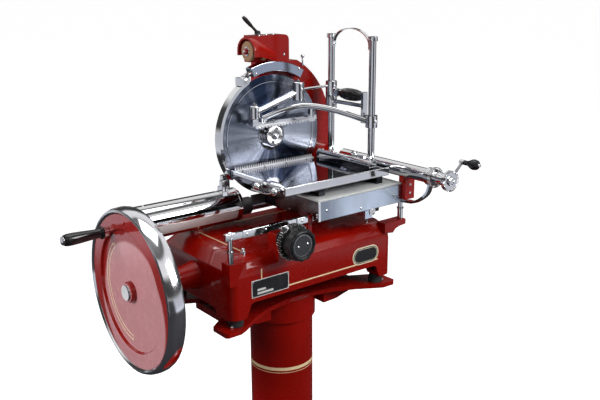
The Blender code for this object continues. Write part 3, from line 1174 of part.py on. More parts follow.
def make_tray():
    """Sliding tray with a raised front rim, runners below, the fence and the toothed strip by the blade."""
    floor = TRAY_LEVEL
    bottom = TRAY_LEVEL - TRAY_THICKNESS
    tray = box("tray", "chrome", (TRAY_LEFT, TRAY_FRONT, bottom), (TRAY_RIGHT, TRAY_BACK, floor + TRAY_RIM))
    cut(tray, box("guide_tray_floor", "chrome", (TRAY_LEFT + 0.007, TRAY_FRONT + 0.006, floor),
                  (TRAY_RIGHT + 0.01, TRAY_BACK + 0.01, floor + 0.02)))
    runner_bottom = CARRIAGE_BOTTOM + CARRIAGE_HEIGHT + TOP_PLATE + 2 * SEAT
    for side, x in (("left", 0.002), ("right", 0.196)):
        join(tray, box("guide_runner_" + side, "chrome", (x, TRAY_FRONT + 0.010, runner_bottom),
                       (x + RUNNER_WIDTH, CARRIAGE_BACK - 0.004, bottom + 0.002)))
    fence_bottom = floor + SEAT
    outline = [(FENCE_X - FENCE_RADIUS, fence_bottom)]
    outline += arc((FENCE_X, fence_bottom + FENCE_RADIUS), FENCE_RADIUS, 180, 0, 12)
    outline += [(FENCE_X + FENCE_RADIUS, fence_bottom)]
    prism("tray_fence", "chrome", outline, "XZ", TRAY_FRONT + 0.014, TRAY_BACK - 0.006, smooth=True)
    make_toothed_strip(fence_bottom)


def saw_outline(start, length, teeth, base, height, tooth):
    """A strip's outline in X and Z with pointed teeth along one edge."""
    pitch = length / teeth
    outline = [(start, base), (start, base + height)]
    for step in range(teeth):
        outline.append((start + (step + 0.5) * pitch, base + height + tooth))
        outline.append((start + (step + 1) * pitch, base + height))
    outline.append((start + length, base))
    return outline


def make_toothed_strip(bottom):
    teeth = 26
    length = FENCE_X - FENCE_RADIUS - TRAY_LEFT - 0.016
    prism("toothed_strip", "chrome",
          saw_outline(TRAY_LEFT + 0.009, length, teeth, bottom, 0.004, 0.004),
          "XZ", TRAY_BACK - 0.004, TRAY_BACK - 0.001)


def make_posts():
    bottom = TRAY_LEVEL + SEAT
    for place, y in (("back", POST_BACK_Y), ("front", POST_FRONT_Y)):
        turned("clamp_post_" + place, "chrome",
               [(0, 0), (0.0125, 0), (0.0125, 0.006), (POST_RADIUS, 0.008),
                (POST_RADIUS, POST_TOP - bottom - 0.011),
                (0.0122, POST_TOP - bottom - 0.009), (0.0122, POST_TOP - bottom - 0.001),
                (0, POST_TOP - bottom)],
               "Z", (POST_X, y, bottom), steps=24)
    inner = POST_RADIUS + SEAT
    back_end, front_end = POST_BACK_Y - inner, POST_FRONT_Y + inner
    crown, half = (back_end + front_end) / 2, (back_end - front_end) / 2 - ARCH_THICKNESS
    foot = POST_TOP - 0.034
    path = [Vector((POST_X, crown + half, foot))]
    for step in range(17):
        angle = math.pi * step / 16
        path.append(Vector((POST_X, crown + half * math.cos(angle),
                            foot + 0.010 + 0.040 * math.sin(angle))))
    path.append(Vector((POST_X, crown - half, foot)))
    strip = swept("post_arch", "chrome", path, ARCH_THICKNESS, ARCH_WIDTH / 2, 4, up=(1, 0, 0))
    lugs = [box("guide_arch_lug_%d" % round(y < 0), "chrome",
                (POST_X - 0.004, min(y, y + turn * 0.003), foot + 0.001),
                (POST_X + 0.004, max(y, y + turn * 0.003), foot + 0.011))
            for y, turn in ((back_end, -1), (front_end, 1))]
    join(strip, *lugs)


def make_clamp():
    """Sliders on the two posts, the bridge and grip between them, the presser and its link."""
    bore = POST_RADIUS + RUNNING
    slider = pipe("clamp_slider", "chrome", "Z", (POST_X, POST_BACK_Y, 0), bore, SLIDER_RADIUS,
                  SLIDER_BOTTOM,
                  SLIDER_TOP, steps=24)
    ear = box("guide_slider_ear", "chrome", (POST_X - 0.007, GRIP_Y + GRIP_HALF_LENGTH + SEAT,
                                             GRIP_LEVEL - 0.010),
              (POST_X + 0.007, POST_BACK_Y - POST_RADIUS - 0.003, GRIP_LEVEL + 0.010))
    join(slider, ear)
    bridge = pipe("clamp_bridge", "chrome", "Z", (POST_X, POST_FRONT_Y, 0), bore, SLIDER_RADIUS,
                  FRONT_SLIDER_BOTTOM, FRONT_SLIDER_TOP, steps=24)
    upright_y = GRIP_Y - GRIP_HALF_LENGTH - SEAT
    upright = box("guide_bridge_upright", "chrome", (POST_X - 0.008, upright_y - 0.009,
                                                     FRONT_SLIDER_BOTTOM + 0.008),
                  (POST_X + 0.008, upright_y, GRIP_LEVEL + 0.012))
    ledge = box("guide_bridge_ledge", "chrome", (POST_X - 0.008, POST_FRONT_Y + POST_RADIUS + 0.003,
                                                 FRONT_SLIDER_BOTTOM + 0.008),
                (POST_X + 0.008, upright_y - 0.001, FRONT_SLIDER_TOP - 0.004))
    beam = box("guide_bridge_beam", "chrome", (POST_X - 0.006, upright_y - 0.002,
                                               GRIP_LEVEL - GRIP_RADIUS - 0.012),
               (POST_X + 0.006, POST_BACK_Y - SLIDER_RADIUS - SEAT, GRIP_LEVEL - GRIP_RADIUS - 0.004))
    join(bridge, upright, ledge, beam)
    profile = []
    for step in range(9):
        angle = math.pi * step / 8
        profile.append((max(GRIP_RADIUS * math.sin(angle) ** 0.7, 0.006),
                        -GRIP_HALF_LENGTH * math.cos(angle)))
    turned("clamp_handle", "black_plastic", [(0, profile[0][1])] + profile + [(0, profile[-1][1])], "Y",
           (POST_X, GRIP_Y, GRIP_LEVEL), steps=24)
    make_presser()
    make_link()


def make_presser():
    """Curved arm from the front slider to the toothed bar that holds the meat down."""
    start = Vector((POST_X - 0.006, POST_FRONT_Y + 0.002, FRONT_SLIDER_BOTTOM + 0.015))
    span = PRESSER_BACK - POST_FRONT_Y
    bend = [(0.172, 0.188235, 0.025), (0.144, 0.364706, 0.037), (0.115, 0.570588, 0.045),
            (0.086, 0.747059, 0.046), (0.045, 0.894118, 0.036), (-0.012, 0.967647, 0.019)]
    path = smooth_path([start] + [(x, POST_FRONT_Y + share * span, PRESSER_BOTTOM + rise)
                                  for x, share, rise in bend], 18)
    arm = swept("presser_arm", "chrome", path, 0.0055, 0.0075, 12)
    teeth = [(x, 2 * PRESSER_BOTTOM - z) for x, z in
             saw_outline(PRESSER_LEFT, PRESSER_LENGTH, 20, PRESSER_BOTTOM, 0.001, 0.005)]
    bar = prism("guide_presser_teeth", "chrome", teeth, "XZ", PRESSER_BACK - 0.004, PRESSER_BACK)
    back = box("guide_presser_bar", "chrome", (PRESSER_LEFT, PRESSER_BACK - 0.008, PRESSER_BOTTOM - 0.0005),
               (PRESSER_LEFT + PRESSER_LENGTH, PRESSER_BACK, PRESSER_BOTTOM + 0.011))
    stem = box("guide_presser_stem", "chrome", (-0.018, PRESSER_BACK - 0.010, PRESSER_BOTTOM + 0.005),
               (0.004, PRESSER_BACK - 0.001, PRESSER_BOTTOM + 0.022))
    riser_y = POST_FRONT_Y + 0.664706 * span
    second = box("guide_presser_second", "chrome", (0.100, riser_y - 0.001, PRESSER_BOTTOM + 0.006),
                 (0.112, PRESSER_BACK - 0.002, PRESSER_BOTTOM + 0.016))
    riser = box("guide_presser_riser", "chrome", (0.100, riser_y - 0.005, PRESSER_BOTTOM + 0.006),
                (0.112, riser_y + 0.005, PRESSER_BOTTOM + 0.045))
    join(arm, back, bar, stem, second, riser)
    cut(arm, rod("guide_presser_saddle", "chrome", "Z", (POST_X, POST_FRONT_Y, 0), SLIDER_RADIUS + SEAT,
                 FRONT_SLIDER_BOTTOM - 0.01, FRONT_SLIDER_TOP + 0.01))


def make_link():
    """Upper arm: a round bar between two blocks, and the thin rod back to the rear slider."""
    low = PRESSER_BOTTOM
    left = Vector((-0.048, LINK_Y, low + 0.041))
    right = Vector((0.090, LINK_Y, low + 0.081))
    link = swept("clamp_link", "chrome", [left, left.lerp(right, 0.5), right], LINK_RADIUS, LINK_RADIUS, 12)
    end = box("guide_link_end", "chrome", (left.x - 0.010, LINK_Y - 0.008, low + 0.025),
              (left.x + 0.008, LINK_Y + 0.008, low + 0.057))
    hook = box("guide_link_hook", "chrome", (PRESSER_LEFT - 0.018, LINK_Y + 0.002, low + 0.005),
               (PRESSER_LEFT - SEAT, PRESSER_BACK - 0.002, low + 0.029))
    block = box("guide_link_block", "chrome", (right.x - 0.010, LINK_Y - 0.012, low + 0.059),
                (right.x + 0.012, LINK_Y + 0.010, low + 0.105))
    start = Vector((right.x, LINK_Y, low + 0.085))
    end_point = Vector((POST_X - SLIDER_RADIUS - SEAT - 0.0005, POST_BACK_Y - 0.002, SLIDER_TOP - 0.012))
    thin = swept("guide_link_rod", "chrome", [start, start.lerp(end_point, 0.5), end_point], 0.0036,
                 0.0036, 10)
    join(link, end, hook, block, thin)


def build():
    clear_scene()
    make_pedestal()
    make_base()
    make_flywheel()
    make_crank_drive()
    make_blade_drive()
    make_stand()
    make_guards()
    make_sharpener()
    make_rail()
    make_guide_tube()
    make_dial()
    make_carriage()
    make_feed()
    make_tray()
    make_posts()
    make_clamp()


build()
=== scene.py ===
"""Looks of a hand cranked flywheel meat slicer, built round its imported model.

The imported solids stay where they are. Each visible one is given a finely rounded body or a
freshly modelled piece, a finish of its own, and the small parts that a person would look for.
"""
from __future__ import annotations

import json
import logging
import math
from collections.abc import Callable, Sequence
from dataclasses import dataclass, field
from enum import Enum

import bmesh
import bpy
from mathutils import Matrix, Vector


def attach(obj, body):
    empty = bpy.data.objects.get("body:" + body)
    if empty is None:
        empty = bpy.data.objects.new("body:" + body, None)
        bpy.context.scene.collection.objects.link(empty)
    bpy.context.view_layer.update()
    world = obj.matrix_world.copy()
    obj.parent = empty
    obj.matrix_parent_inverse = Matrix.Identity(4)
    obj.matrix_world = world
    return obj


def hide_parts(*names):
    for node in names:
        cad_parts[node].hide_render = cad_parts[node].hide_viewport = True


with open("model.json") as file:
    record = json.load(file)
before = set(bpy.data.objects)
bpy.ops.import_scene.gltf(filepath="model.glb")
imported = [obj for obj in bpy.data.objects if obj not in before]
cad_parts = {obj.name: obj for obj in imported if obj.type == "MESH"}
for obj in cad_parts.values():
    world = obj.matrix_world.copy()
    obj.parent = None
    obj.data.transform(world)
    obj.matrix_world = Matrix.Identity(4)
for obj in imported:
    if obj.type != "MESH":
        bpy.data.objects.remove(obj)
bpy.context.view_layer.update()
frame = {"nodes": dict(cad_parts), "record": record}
log = logging.getLogger("slicer")

Point = tuple[float, float, float]
Profile = Sequence[tuple[float, float]]

# Sizes shared by several sub-assemblies, in metres
COLUMN_RADIUS = 0.0843
SHAFT_LEVEL = 0.857
FLYWHEEL_FACE = -0.4385
# Middle (Y, Z) of the disc of painted reflection on the flywheel's face
PAINTED_REFLECTION_CENTRE = (-0.012, SHAFT_LEVEL - 0.036)
BLADE_CENTRE = Vector((0.035, 0.079, 1.155))
# Middle, along X, of the painted highlight on the carriage side
PAINTED_HIGHLIGHT_MIDDLE = 0.130
POST_X = 0.215
FEED_X = 0.268
FEED_LEVEL = 1.072

# Limits of the modelling tools
POINT_RADIUS = 1e-7
WELD_GAP = 2e-6
SHARP_ANGLE = math.radians(32.0)
SMOOTH_ANGLE = math.radians(35.0)
FLAT_ANGLE = math.radians(0.5)


class Axis(Enum):
    """The three directions of the machine."""

    X = "X"
    Y = "Y"
    Z = "Z"

    @property
    def direction(self) -> Vector:
        """Unit vector of this axis."""
        return Vector([1.0 if self.value == letter else 0.0 for letter in "XYZ"])

    @property
    def turn(self) -> tuple[float, float, float]:
        """Euler angles that lay a flat primitive square to this axis."""
        return {"X": (0.0, math.pi / 2, 0.0), "Y": (-math.pi / 2, 0.0, 0.0), "Z": (0.0, 0.0, 0.0)}[self.value]


class Facing(Enum):
    """The ways a fastener's head points: an axis and the sign along it."""

    UP = (Axis.Z, 1)
    DOWN = (Axis.Z, -1)
    FRONT = (Axis.Y, -1)
    LEFT = (Axis.X, -1)


class Signal:
    """An output socket of a shader node that Python's operators turn into Math nodes."""

    def __init__(self, paint: Paint, socket: bpy.types.NodeSocket) -> None:
        """Keep the socket and the paint that it belongs to."""
        self.paint = paint
        self.socket = socket

    def _math(self, operation: str, other: Signal | float = 0.0) -> Signal:
        """Add one Math node of this operation and hand over its result."""
        node = self.paint.node("ShaderNodeMath", {"operation": operation}, {0: self, 1: other})
        return Signal(self.paint, node.outputs[0])

    def __add__(self, other: Signal | float) -> Signal:
        """Sum."""
        return self._math("ADD", other)

    __radd__ = __add__

    def __rsub__(self, other: float) -> Signal:
        """Difference with the plain number first, as in 1 - mask."""
        return self * -1.0 + other

    def __mul__(self, other: Signal | float) -> Signal:
        """Product."""
        return self._math("MULTIPLY", other)

    __rmul__ = __mul__

    def __sub__(self, other: Signal | float) -> Signal:
        """Difference."""
        return self._math("SUBTRACT", other)

    def __pow__(self, other: Signal | float) -> Signal:
        """Power."""
        return self._math("POWER", other)

    def sine(self) -> Signal:
        """Sine of the value in radians."""
        return self._math("SINE")

    def absolute(self) -> Signal:
        """Size without sign."""
        return self._math("ABSOLUTE")

    def at_most(self, other: Signal | float) -> Signal:
        """The smaller of two values."""
        return self._math("MINIMUM", other)

    def angle(self, across: Signal) -> Signal:
        """Angle in radians of a point this far up and that far across."""
        return self._math("ARCTAN2", across)

    def ease(self, low: float, high: float, start: float = 0.0, end: float = 1.0) -> Signal:
        """Rise smoothly from start to end as the value goes from low to high.

        Args:
            low: value where the rise begins.
            high: value where it ends.
            start: result below low.
            end: result above high.

        Returns:
            The eased value.
        """
        node = self.paint.node("ShaderNodeMapRange", {"interpolation_type": "SMOOTHSTEP"},
                               {"Value": self, "From Min": low, "From Max": high, "To Min": start, "To Max": end})
        return Signal(self.paint, node.outputs["Result"])


class Paint:
    """One material while its nodes are laid out."""

    def __init__(self, name: str) -> None:
        """Start a material with a bare Principled shader.

        Args:
            name: the material's name.
        """
        self.material = bpy.data.materials.new(name)
        self.material.use_nodes = True
        self.tree = self.material.node_tree
        self.shader = self.tree.nodes["Principled BSDF"]
        self.coordinates = self.node("ShaderNodeTexCoord").outputs["Object"]

    def node(self, kind: str, settings: dict | None = None, inputs: dict | None = None) -> bpy.types.Node:
        """Add a node.

        Args:
            kind: Blender's type name.
            settings: attributes to set first, and "stops" for a colour ramp.
            inputs: values, Signals or sockets by socket name or number.

        Returns:
            The new node.
        """
        made = self.tree.nodes.new(kind)
        for key, value in (settings or {}).items():
            if key == "stops":
                self.set_stops(made.color_ramp, value)
            else:
                setattr(made, key, value)
        for key, value in (inputs or {}).items():
            socket = made.inputs[key]
            if isinstance(value, Signal):
                self.tree.links.new(value.socket, socket)
            elif isinstance(value, bpy.types.NodeSocket):
                self.tree.links.new(value, socket)
            else:
                socket.default_value = value
        return made

    @staticmethod
    def set_stops(ramp: bpy.types.ColorRamp, stops: Sequence[tuple[float, Sequence[float]]]) -> None:
        """Give a ramp exactly these stops.

        Args:
            ramp: a colour ramp with one stop or more.
            stops: (place, colour) of each.
        """
        while len(ramp.elements) < len(stops):
            ramp.elements.new(0.5)
        for element, (place, colour) in zip(ramp.elements, stops):
            element.position = place
            element.color = (*colour, 1.0)

    def noise(self, scale: float, detail: float = 3.0, stretch: Point = (1.0, 1.0, 1.0), rough: float = 0.5,
              seed: float = 0.0) -> Signal:
        """Noise in the machine's own coordinates.

        Args:
            scale: cells per metre.
            detail: octaves.
            stretch: factors along the three axes.
            rough: share of the finer octaves.
            seed: offset along all axes.

        Returns:
            A value around one half.
        """
        mapped = self.node("ShaderNodeMapping", None, {"Vector": self.coordinates, "Scale": stretch,
                                                       "Location": (seed, seed, seed)})
        made = self.node("ShaderNodeTexNoise", None, {"Vector": mapped.outputs[0], "Scale": scale,
                                                      "Detail": detail, "Roughness": rough})
        return Signal(self, made.outputs["Fac"])

    def mix(self, share: Signal | float, first: Signal | Sequence[float],
            second: Signal | Sequence[float]) -> Signal:
        """Blend two colours.

        Args:
            share: how much of the second colour.
            first: colour where share is 0.
            second: colour where share is 1.

        Returns:
            The blend.
        """
        colours = [value if isinstance(value, Signal) else (*value, 1.0) for value in (first, second)]
        made = self.node("ShaderNodeMix", {"data_type": "RGBA"}, {0: share, 6: colours[0], 7: colours[1]})
        return Signal(self, made.outputs[2])

    def bump(self, height: Signal, depth: float, strength: float) -> Signal:
        """Turn a height from 0 to 1 into a normal.

        Args:
            height: relief.
            depth: metres from 0 to 1.
            strength: share of the effect.

        Returns:
            The bent normal.
        """
        made = self.node("ShaderNodeBump", None, {"Height": height, "Distance": depth, "Strength": strength})
        return Signal(self, made.outputs[0])

    def split(self, vector: bpy.types.NodeSocket | None = None) -> tuple[Signal, Signal, Signal]:
        """The three parts of a vector, or of the object coordinates in metres if none is given."""
        made = self.node("ShaderNodeSeparateXYZ", None, {0: vector or self.coordinates})
        return tuple(Signal(self, made.outputs[letter]) for letter in "XYZ")

    def normal(self) -> bpy.types.NodeSocket:
        """The surface's own direction."""
        return self.node("ShaderNodeNewGeometry").outputs["Normal"]

    def coat(self, **sockets: object) -> bpy.types.Material:
        """Set the shader's sockets and hand over the material.

        Args:
            sockets: values or Signals by socket name, with _ for a space.

        Returns:
            The finished material.
        """
        for key, value in sockets.items():
            socket = self.shader.inputs[key.replace("_", " ")]
            if isinstance(value, Signal):
                self.tree.links.new(value.socket, socket)
            elif isinstance(value, (tuple, list)) and len(value) == 3 and socket.type == "RGBA":
                socket.default_value = (*value, 1.0)
            else:
                socket.default_value = value
        return self.material


@dataclass(frozen=True)
class Finish:
    """What every finish has: a name and the record's slot that it belongs to."""

    name: str
    slot: str

    def material(self) -> bpy.types.Material:
        """The finish's material, made once."""
        found = bpy.data.materials.get(self.name)
        return found if found else self.lay(Paint(self.name))

    def lay(self, paint: Paint) -> bpy.types.Material:
        """Lay out the nodes. Each finish has its own."""
        raise NotImplementedError


@dataclass(frozen=True)
class Enamel(Finish):
    """Deep glossy stove enamel: slight orange peel, a hard clear top and a trace of dust on flat tops.

    When it is set, faces that look left carry a painted reflection: a pale disc painted where a lamp's reflection lies
    on the flywheel.
    """

    colour: Point = (0.318, 0.0042, 0.0009)
    shade: Point = (0.258, 0.0032, 0.0007)
    dust: float = 0.004
    clear: float = 0.48
    index: float = 1.45
    painted_reflection: float = 0.0

    def lay(self, paint: Paint) -> bpy.types.Material:
        """Lay out the nodes.

        Args:
            paint: the material that they go into.

        Returns:
            The finished material.
        """
        cloud = paint.noise(5.0, 4.0)
        peel = paint.noise(420.0, 2.0)
        film = paint.noise(38.0, 5.0, rough=0.65, seed=3.0)
        tone = paint.mix(cloud.ease(0.3, 0.7), self.shade, self.colour)
        facing_x, _, facing_z = paint.split(paint.normal())
        settled = facing_z.ease(0.6, 1.0) * film.ease(0.45, 0.8) * self.dust
        # Painted reflection: a pale pink disc painted on faces that look left, round the wheel's middle
        if self.painted_reflection:
            _, across, level = paint.split()
            across, level = across - PAINTED_REFLECTION_CENTRE[0], level - PAINTED_REFLECTION_CENTRE[1]
            reach = (across * across + level * level) ** 0.5
            painted_reflection_mask = facing_x.ease(-0.97, -0.90, self.painted_reflection, 0.0) * reach.ease(0.150, 0.160, 1.0, 0.05)
            tone = paint.mix(painted_reflection_mask * film.ease(0.2, 0.9, 0.85, 1.0), tone, (1.0, 0.62, 0.66))
        return paint.coat(
            Base_Color=paint.mix(settled, tone, (0.35, 0.30, 0.28)),
            Roughness=film.ease(0.3, 0.8, 0.24, 0.31) + settled, Specular_IOR_Level=0.14,
            Coat_Weight=self.clear, Coat_Roughness=0.035, Coat_IOR=self.index,
            Normal=paint.bump(peel, 0.00005, 0.05))


@dataclass(frozen=True)
class Chrome(Finish):
    """Plated and buffed metal with finger smears and hair scratches.

    Below a given level the plating colour is painted near-black as painted shade; it can also be painted darker along
    X with distance from a middle line, a painted highlight in the middle fading to painted shade at both ends.
    """

    colour: Point = (0.82, 0.825, 0.84)
    low: float = 0.035
    high: float = 0.13
    painted_shade_below: float = 0.0
    painted_end_shade: float = 0.0

    def lay(self, paint: Paint) -> bpy.types.Material:
        """Lay out the nodes.

        Args:
            paint: the material that they go into.

        Returns:
            The finished material.
        """
        smear = paint.noise(22.0, 5.0, (1.0, 1.0, 0.5), 0.6)
        hair = paint.noise(900.0, 2.0, (1.0, 0.06, 0.35), 0.5, 7.0)
        tone = paint.mix(smear.ease(0.35, 0.75) * 0.25, self.colour, (0.62, 0.62, 0.63))
        # Painted shade: near-black below the given level
        if self.painted_shade_below:
            level = paint.split()[2]
            tone = paint.mix(level.ease(self.painted_shade_below - 0.002, self.painted_shade_below), (0.03, 0.03, 0.034), tone)
        # Painted highlight and shade: darker along X away from the middle line
        if self.painted_end_shade:
            away = (paint.split()[0] - PAINTED_HIGHLIGHT_MIDDLE).absolute()
            tone = paint.mix(away.ease(0.040, 0.140, 0.0, self.painted_end_shade), tone, (0.07, 0.09, 0.13))
        return paint.coat(
            Base_Color=tone, Metallic=1.0,
            Roughness=smear.ease(0.35, 0.8, self.low, self.high) + hair.ease(0.55, 0.8, 0.0, 0.05),
            Normal=paint.bump(smear, 0.0002, 0.03))


@dataclass(frozen=True)
class Satin(Finish):
    """Pale brushed plate with duller patches here and there."""

    colour: Point = (0.74, 0.75, 0.745)

    def lay(self, paint: Paint) -> bpy.types.Material:
        """Lay out the nodes.

        Args:
            paint: the material that they go into.

        Returns:
            The finished material.
        """
        brushed = paint.noise(900.0, 3.0, (0.03, 1.0, 1.0), 0.6)
        patch = paint.noise(14.0, 4.0, seed=8.0)
        dull = tuple(value * 0.86 for value in self.colour)
        return paint.coat(
            Base_Color=paint.mix(patch.ease(0.35, 0.75), self.colour, dull), Metallic=0.25,
            Roughness=brushed.ease(0.3, 0.7, 0.34, 0.50), Normal=paint.bump(brushed, 0.00004, 0.4))


@dataclass(frozen=True)
class Machined(Finish):
    """Plain turned or ground metal, with tool marks and a little oil."""

    colour: Point = (0.42, 0.42, 0.43)
    rough: float = 0.30
    marks: Point = (0.05, 1.0, 1.0)

    def lay(self, paint: Paint) -> bpy.types.Material:
        """Lay out the nodes.

        Args:
            paint: the material that they go into.

        Returns:
            The finished material.
        """
        cut = paint.noise(700.0, 3.0, self.marks, 0.6)
        oil = paint.noise(30.0, 4.0, seed=5.0)
        dark = tuple(value * 0.6 for value in self.colour)
        return paint.coat(
            Base_Color=paint.mix(oil.ease(0.4, 0.75) * 0.5, self.colour, dark), Metallic=1.0,
            Roughness=cut.ease(0.3, 0.7, self.rough - 0.07, self.rough + 0.1),
            Normal=paint.bump(cut, 0.00006, 0.5))


@dataclass(frozen=True)
class Cast(Finish):
    """Sand-cast iron, dark and grainy, worn brighter here and there."""

    colour: Point = (0.10, 0.10, 0.105)

    def lay(self, paint: Paint) -> bpy.types.Material:
        """Lay out the nodes.

        Args:
            paint: the material that they go into.

        Returns:
            The finished material.
        """
        grain = paint.noise(600.0, 4.0, rough=0.7)
        patch = paint.noise(24.0, 4.0, seed=2.0)
        return paint.coat(
            Base_Color=paint.mix(patch.ease(0.5, 0.75), self.colour, (0.23, 0.22, 0.21)),
            Metallic=patch.ease(0.5, 0.8, 0.55, 0.9), Roughness=grain.ease(0.3, 0.7, 0.45, 0.7),
            Normal=paint.bump(grain, 0.0003, 0.6))


@dataclass(frozen=True)
class BladeSteel(Finish):
    """Steel ground in circles round the hub, which fans every light out from the centre; the fan is also painted into
    its colour as bright and dark rays.
    """

    # (radians per metre of radius, height) of each set of grooves
    grooves: tuple[tuple[float, float], ...] = ((21000.0, 0.07), (8300.0, 0.05), (1900.0, 0.012))
    # (rays per turn, shift in radians, share) of each set of painted rays, a painted reflection fan in the colour
    rays: tuple[tuple[float, float, float], ...] = (
        (2.0, 0.9, 1.0), (5.0, 2.1, 0.45), (13.0, 0.0, 0.30), (31.0, 0.0, 0.22))

    def lay(self, paint: Paint) -> bpy.types.Material:
        """Lay out the nodes.

        Args:
            paint: the material that they go into.

        Returns:
            The finished material.
        """
        centred = paint.node("ShaderNodeMapping", None, {
            "Vector": paint.coordinates, "Location": tuple(-BLADE_CENTRE)})
        flat = paint.node("ShaderNodeVectorMath", {"operation": "MULTIPLY"},
                          {0: centred.outputs[0], 1: (1.0, 0.0, 1.0)})
        reach = Signal(paint, paint.node("ShaderNodeVectorMath", {"operation": "LENGTH"},
                                         {0: flat.outputs[0]}).outputs["Value"])
        outward = paint.node("ShaderNodeVectorMath", {"operation": "NORMALIZE"}, {0: flat.outputs[0]})
        outward = paint.node("ShaderNodeVectorTransform", {"vector_type": "VECTOR", "convert_from": "OBJECT",
                                                           "convert_to": "WORLD"}, {0: outward.outputs[0]})
        groove = sum((reach * pace).sine() * height for pace, height in self.grooves)
        tilt = paint.node("ShaderNodeVectorMath", {"operation": "SCALE"},
                          {0: outward.outputs[0], "Scale": groove})
        normal = paint.node("ShaderNodeVectorMath", {"operation": "ADD"},
                            {0: paint.normal(), 1: tilt.outputs[0]})
        normal = paint.node("ShaderNodeVectorMath", {"operation": "NORMALIZE"}, {0: normal.outputs[0]})
        across, _, level = paint.split(flat.outputs[0])
        angle = level.angle(across)
        # Painted reflection: bright and dark rays by angle round the hub, mixed into the colour
        painted_fan = sum((angle * count + shift).sine() * share for count, shift, share in self.rays)
        film = paint.noise(9.0, 3.0)
        shade = (painted_fan + (film - 0.5) * 0.8).ease(-1.3, 1.3, 1.0, 0.0)
        return paint.coat(
            Base_Color=paint.mix(shade, (0.40, 0.43, 0.50), (0.022, 0.034, 0.068)),
            Metallic=1.0, Roughness=film.ease(0.3, 0.8, 0.14, 0.22), Normal=Signal(paint, normal.outputs[0]))


@dataclass(frozen=True)
class Plastic(Finish):
    """Moulded black plastic, shiny on top with rubbed and dusty places."""

    colour: Point = (0.012, 0.012, 0.013)
    rough: float = 0.2

    def lay(self, paint: Paint) -> bpy.types.Material:
        """Lay out the nodes.

        Args:
            paint: the material that they go into.

        Returns:
            The finished material.
        """
        rub = paint.noise(60.0, 4.0)
        grain = paint.noise(1400.0, 2.0, seed=4.0)
        return paint.coat(
            Base_Color=paint.mix(rub.ease(0.5, 0.85) * 0.5, self.colour, (0.05, 0.05, 0.052)),
            Roughness=rub.ease(0.3, 0.8, self.rough, self.rough + 0.2),
            Normal=paint.bump(grain, 0.00004, 0.4))


@dataclass(frozen=True)
class Rubber(Finish):
    """Dull black rubber with dust in its pores."""

    def lay(self, paint: Paint) -> bpy.types.Material:
        """Lay out the nodes.

        Args:
            paint: the material that they go into.

        Returns:
            The finished material.
        """
        pores = paint.noise(900.0, 3.0)
        dust = paint.noise(80.0, 4.0, seed=1.0)
        return paint.coat(
            Base_Color=paint.mix(dust.ease(0.45, 0.8) * 0.6, (0.014, 0.014, 0.015), (0.06, 0.058, 0.055)),
            Roughness=pores.ease(0.3, 0.7, 0.55, 0.8), Normal=paint.bump(pores, 0.0002, 0.5))


@dataclass(frozen=True)
class Abrasive(Finish):
    """Bonded grinding wheel: coarse brown grit with metal picked up on its rim."""

    colour: Point = (0.24, 0.13, 0.07)

    def lay(self, paint: Paint) -> bpy.types.Material:
        """Lay out the nodes.

        Args:
            paint: the material that they go into.

        Returns:
            The finished material.
        """
        grit = paint.noise(1500.0, 3.0, rough=0.8)
        load = paint.noise(160.0, 4.0, seed=6.0)
        return paint.coat(
            Base_Color=paint.mix(grit.ease(0.35, 0.65), self.colour, (0.42, 0.27, 0.16)),
            Metallic=load.ease(0.6, 0.8, 0.0, 0.3), Roughness=0.85, Normal=paint.bump(grit, 0.0005, 0.9))


@dataclass(frozen=True)
class Gilt(Finish):
    """Thin gold line work under the clear top coat."""

    colour: Point = (0.93, 0.70, 0.38)

    def lay(self, paint: Paint) -> bpy.types.Material:
        """Lay out the nodes.

        Args:
            paint: the material that they go into.

        Returns:
            The finished material.
        """
        leaf = paint.noise(240.0, 4.0, rough=0.6)
        return paint.coat(
            Base_Color=paint.mix(leaf.ease(0.3, 0.7), self.colour, (0.98, 0.80, 0.50)),
            Metallic=0.0, Roughness=leaf.ease(0.3, 0.7, 0.30, 0.46), Coat_Weight=0.4, Coat_Roughness=0.08)


@dataclass(frozen=True)
class Marking(Finish):
    """Plain printed paint, such as the dial's numbers."""

    colour: Point = (0.8, 0.8, 0.78)

    def lay(self, paint: Paint) -> bpy.types.Material:
        """Lay out the nodes.

        Args:
            paint: the material that they go into.

        Returns:
            The finished material.
        """
        worn = paint.noise(500.0, 3.0)
        dull = tuple(value * 0.75 for value in self.colour)
        return paint.coat(Base_Color=paint.mix(worn.ease(0.4, 0.7), self.colour, dull),
                          Roughness=worn.ease(0.3, 0.7, 0.35, 0.55))


ENAMEL = Enamel("red_stove_enamel", "enamel")
# Flywheel enamel, with the painted reflection on its face
WHEEL_PAINTED_REFLECTION = Enamel("wheel_enamel_painted_reflection", "enamel", clear=1.0, index=1.5, painted_reflection=0.5)
SHADED = Enamel("shaded_housing_enamel", "enamel", clear=0.12)
CHROME = Chrome("buffed_chrome", "chrome")
BLADE = BladeSteel("circular_ground_steel", "blade_steel")
STEEL = Machined("turned_steel", "steel")
BRONZE = Machined("bearing_bronze", "bronze", (0.50, 0.32, 0.13), 0.3)
IRON = Cast("sand_cast_iron", "cast_iron")
PLASTIC = Plastic("moulded_black", "black_plastic")
RUBBER = Rubber("foot_rubber", "rubber")
STONE = Abrasive("bonded_abrasive", "stone")
GOLD = Gilt("gold_line", "enamel")
# Gold line painted paler for the painted reflection on the flywheel's web, where it lies
GOLD_IN_PAINTED_REFLECTION = Gilt("pale_gold_line", "enamel", (1.0, 0.86, 0.62))
PRINT = Marking("dial_print", "black_plastic")
PLATED = Chrome("thin_plated_edge", "chrome", (0.86, 0.86, 0.87), 0.10, 0.20)
POLISHED = Chrome("polished_steel", "steel", (0.74, 0.75, 0.77), 0.06, 0.16)
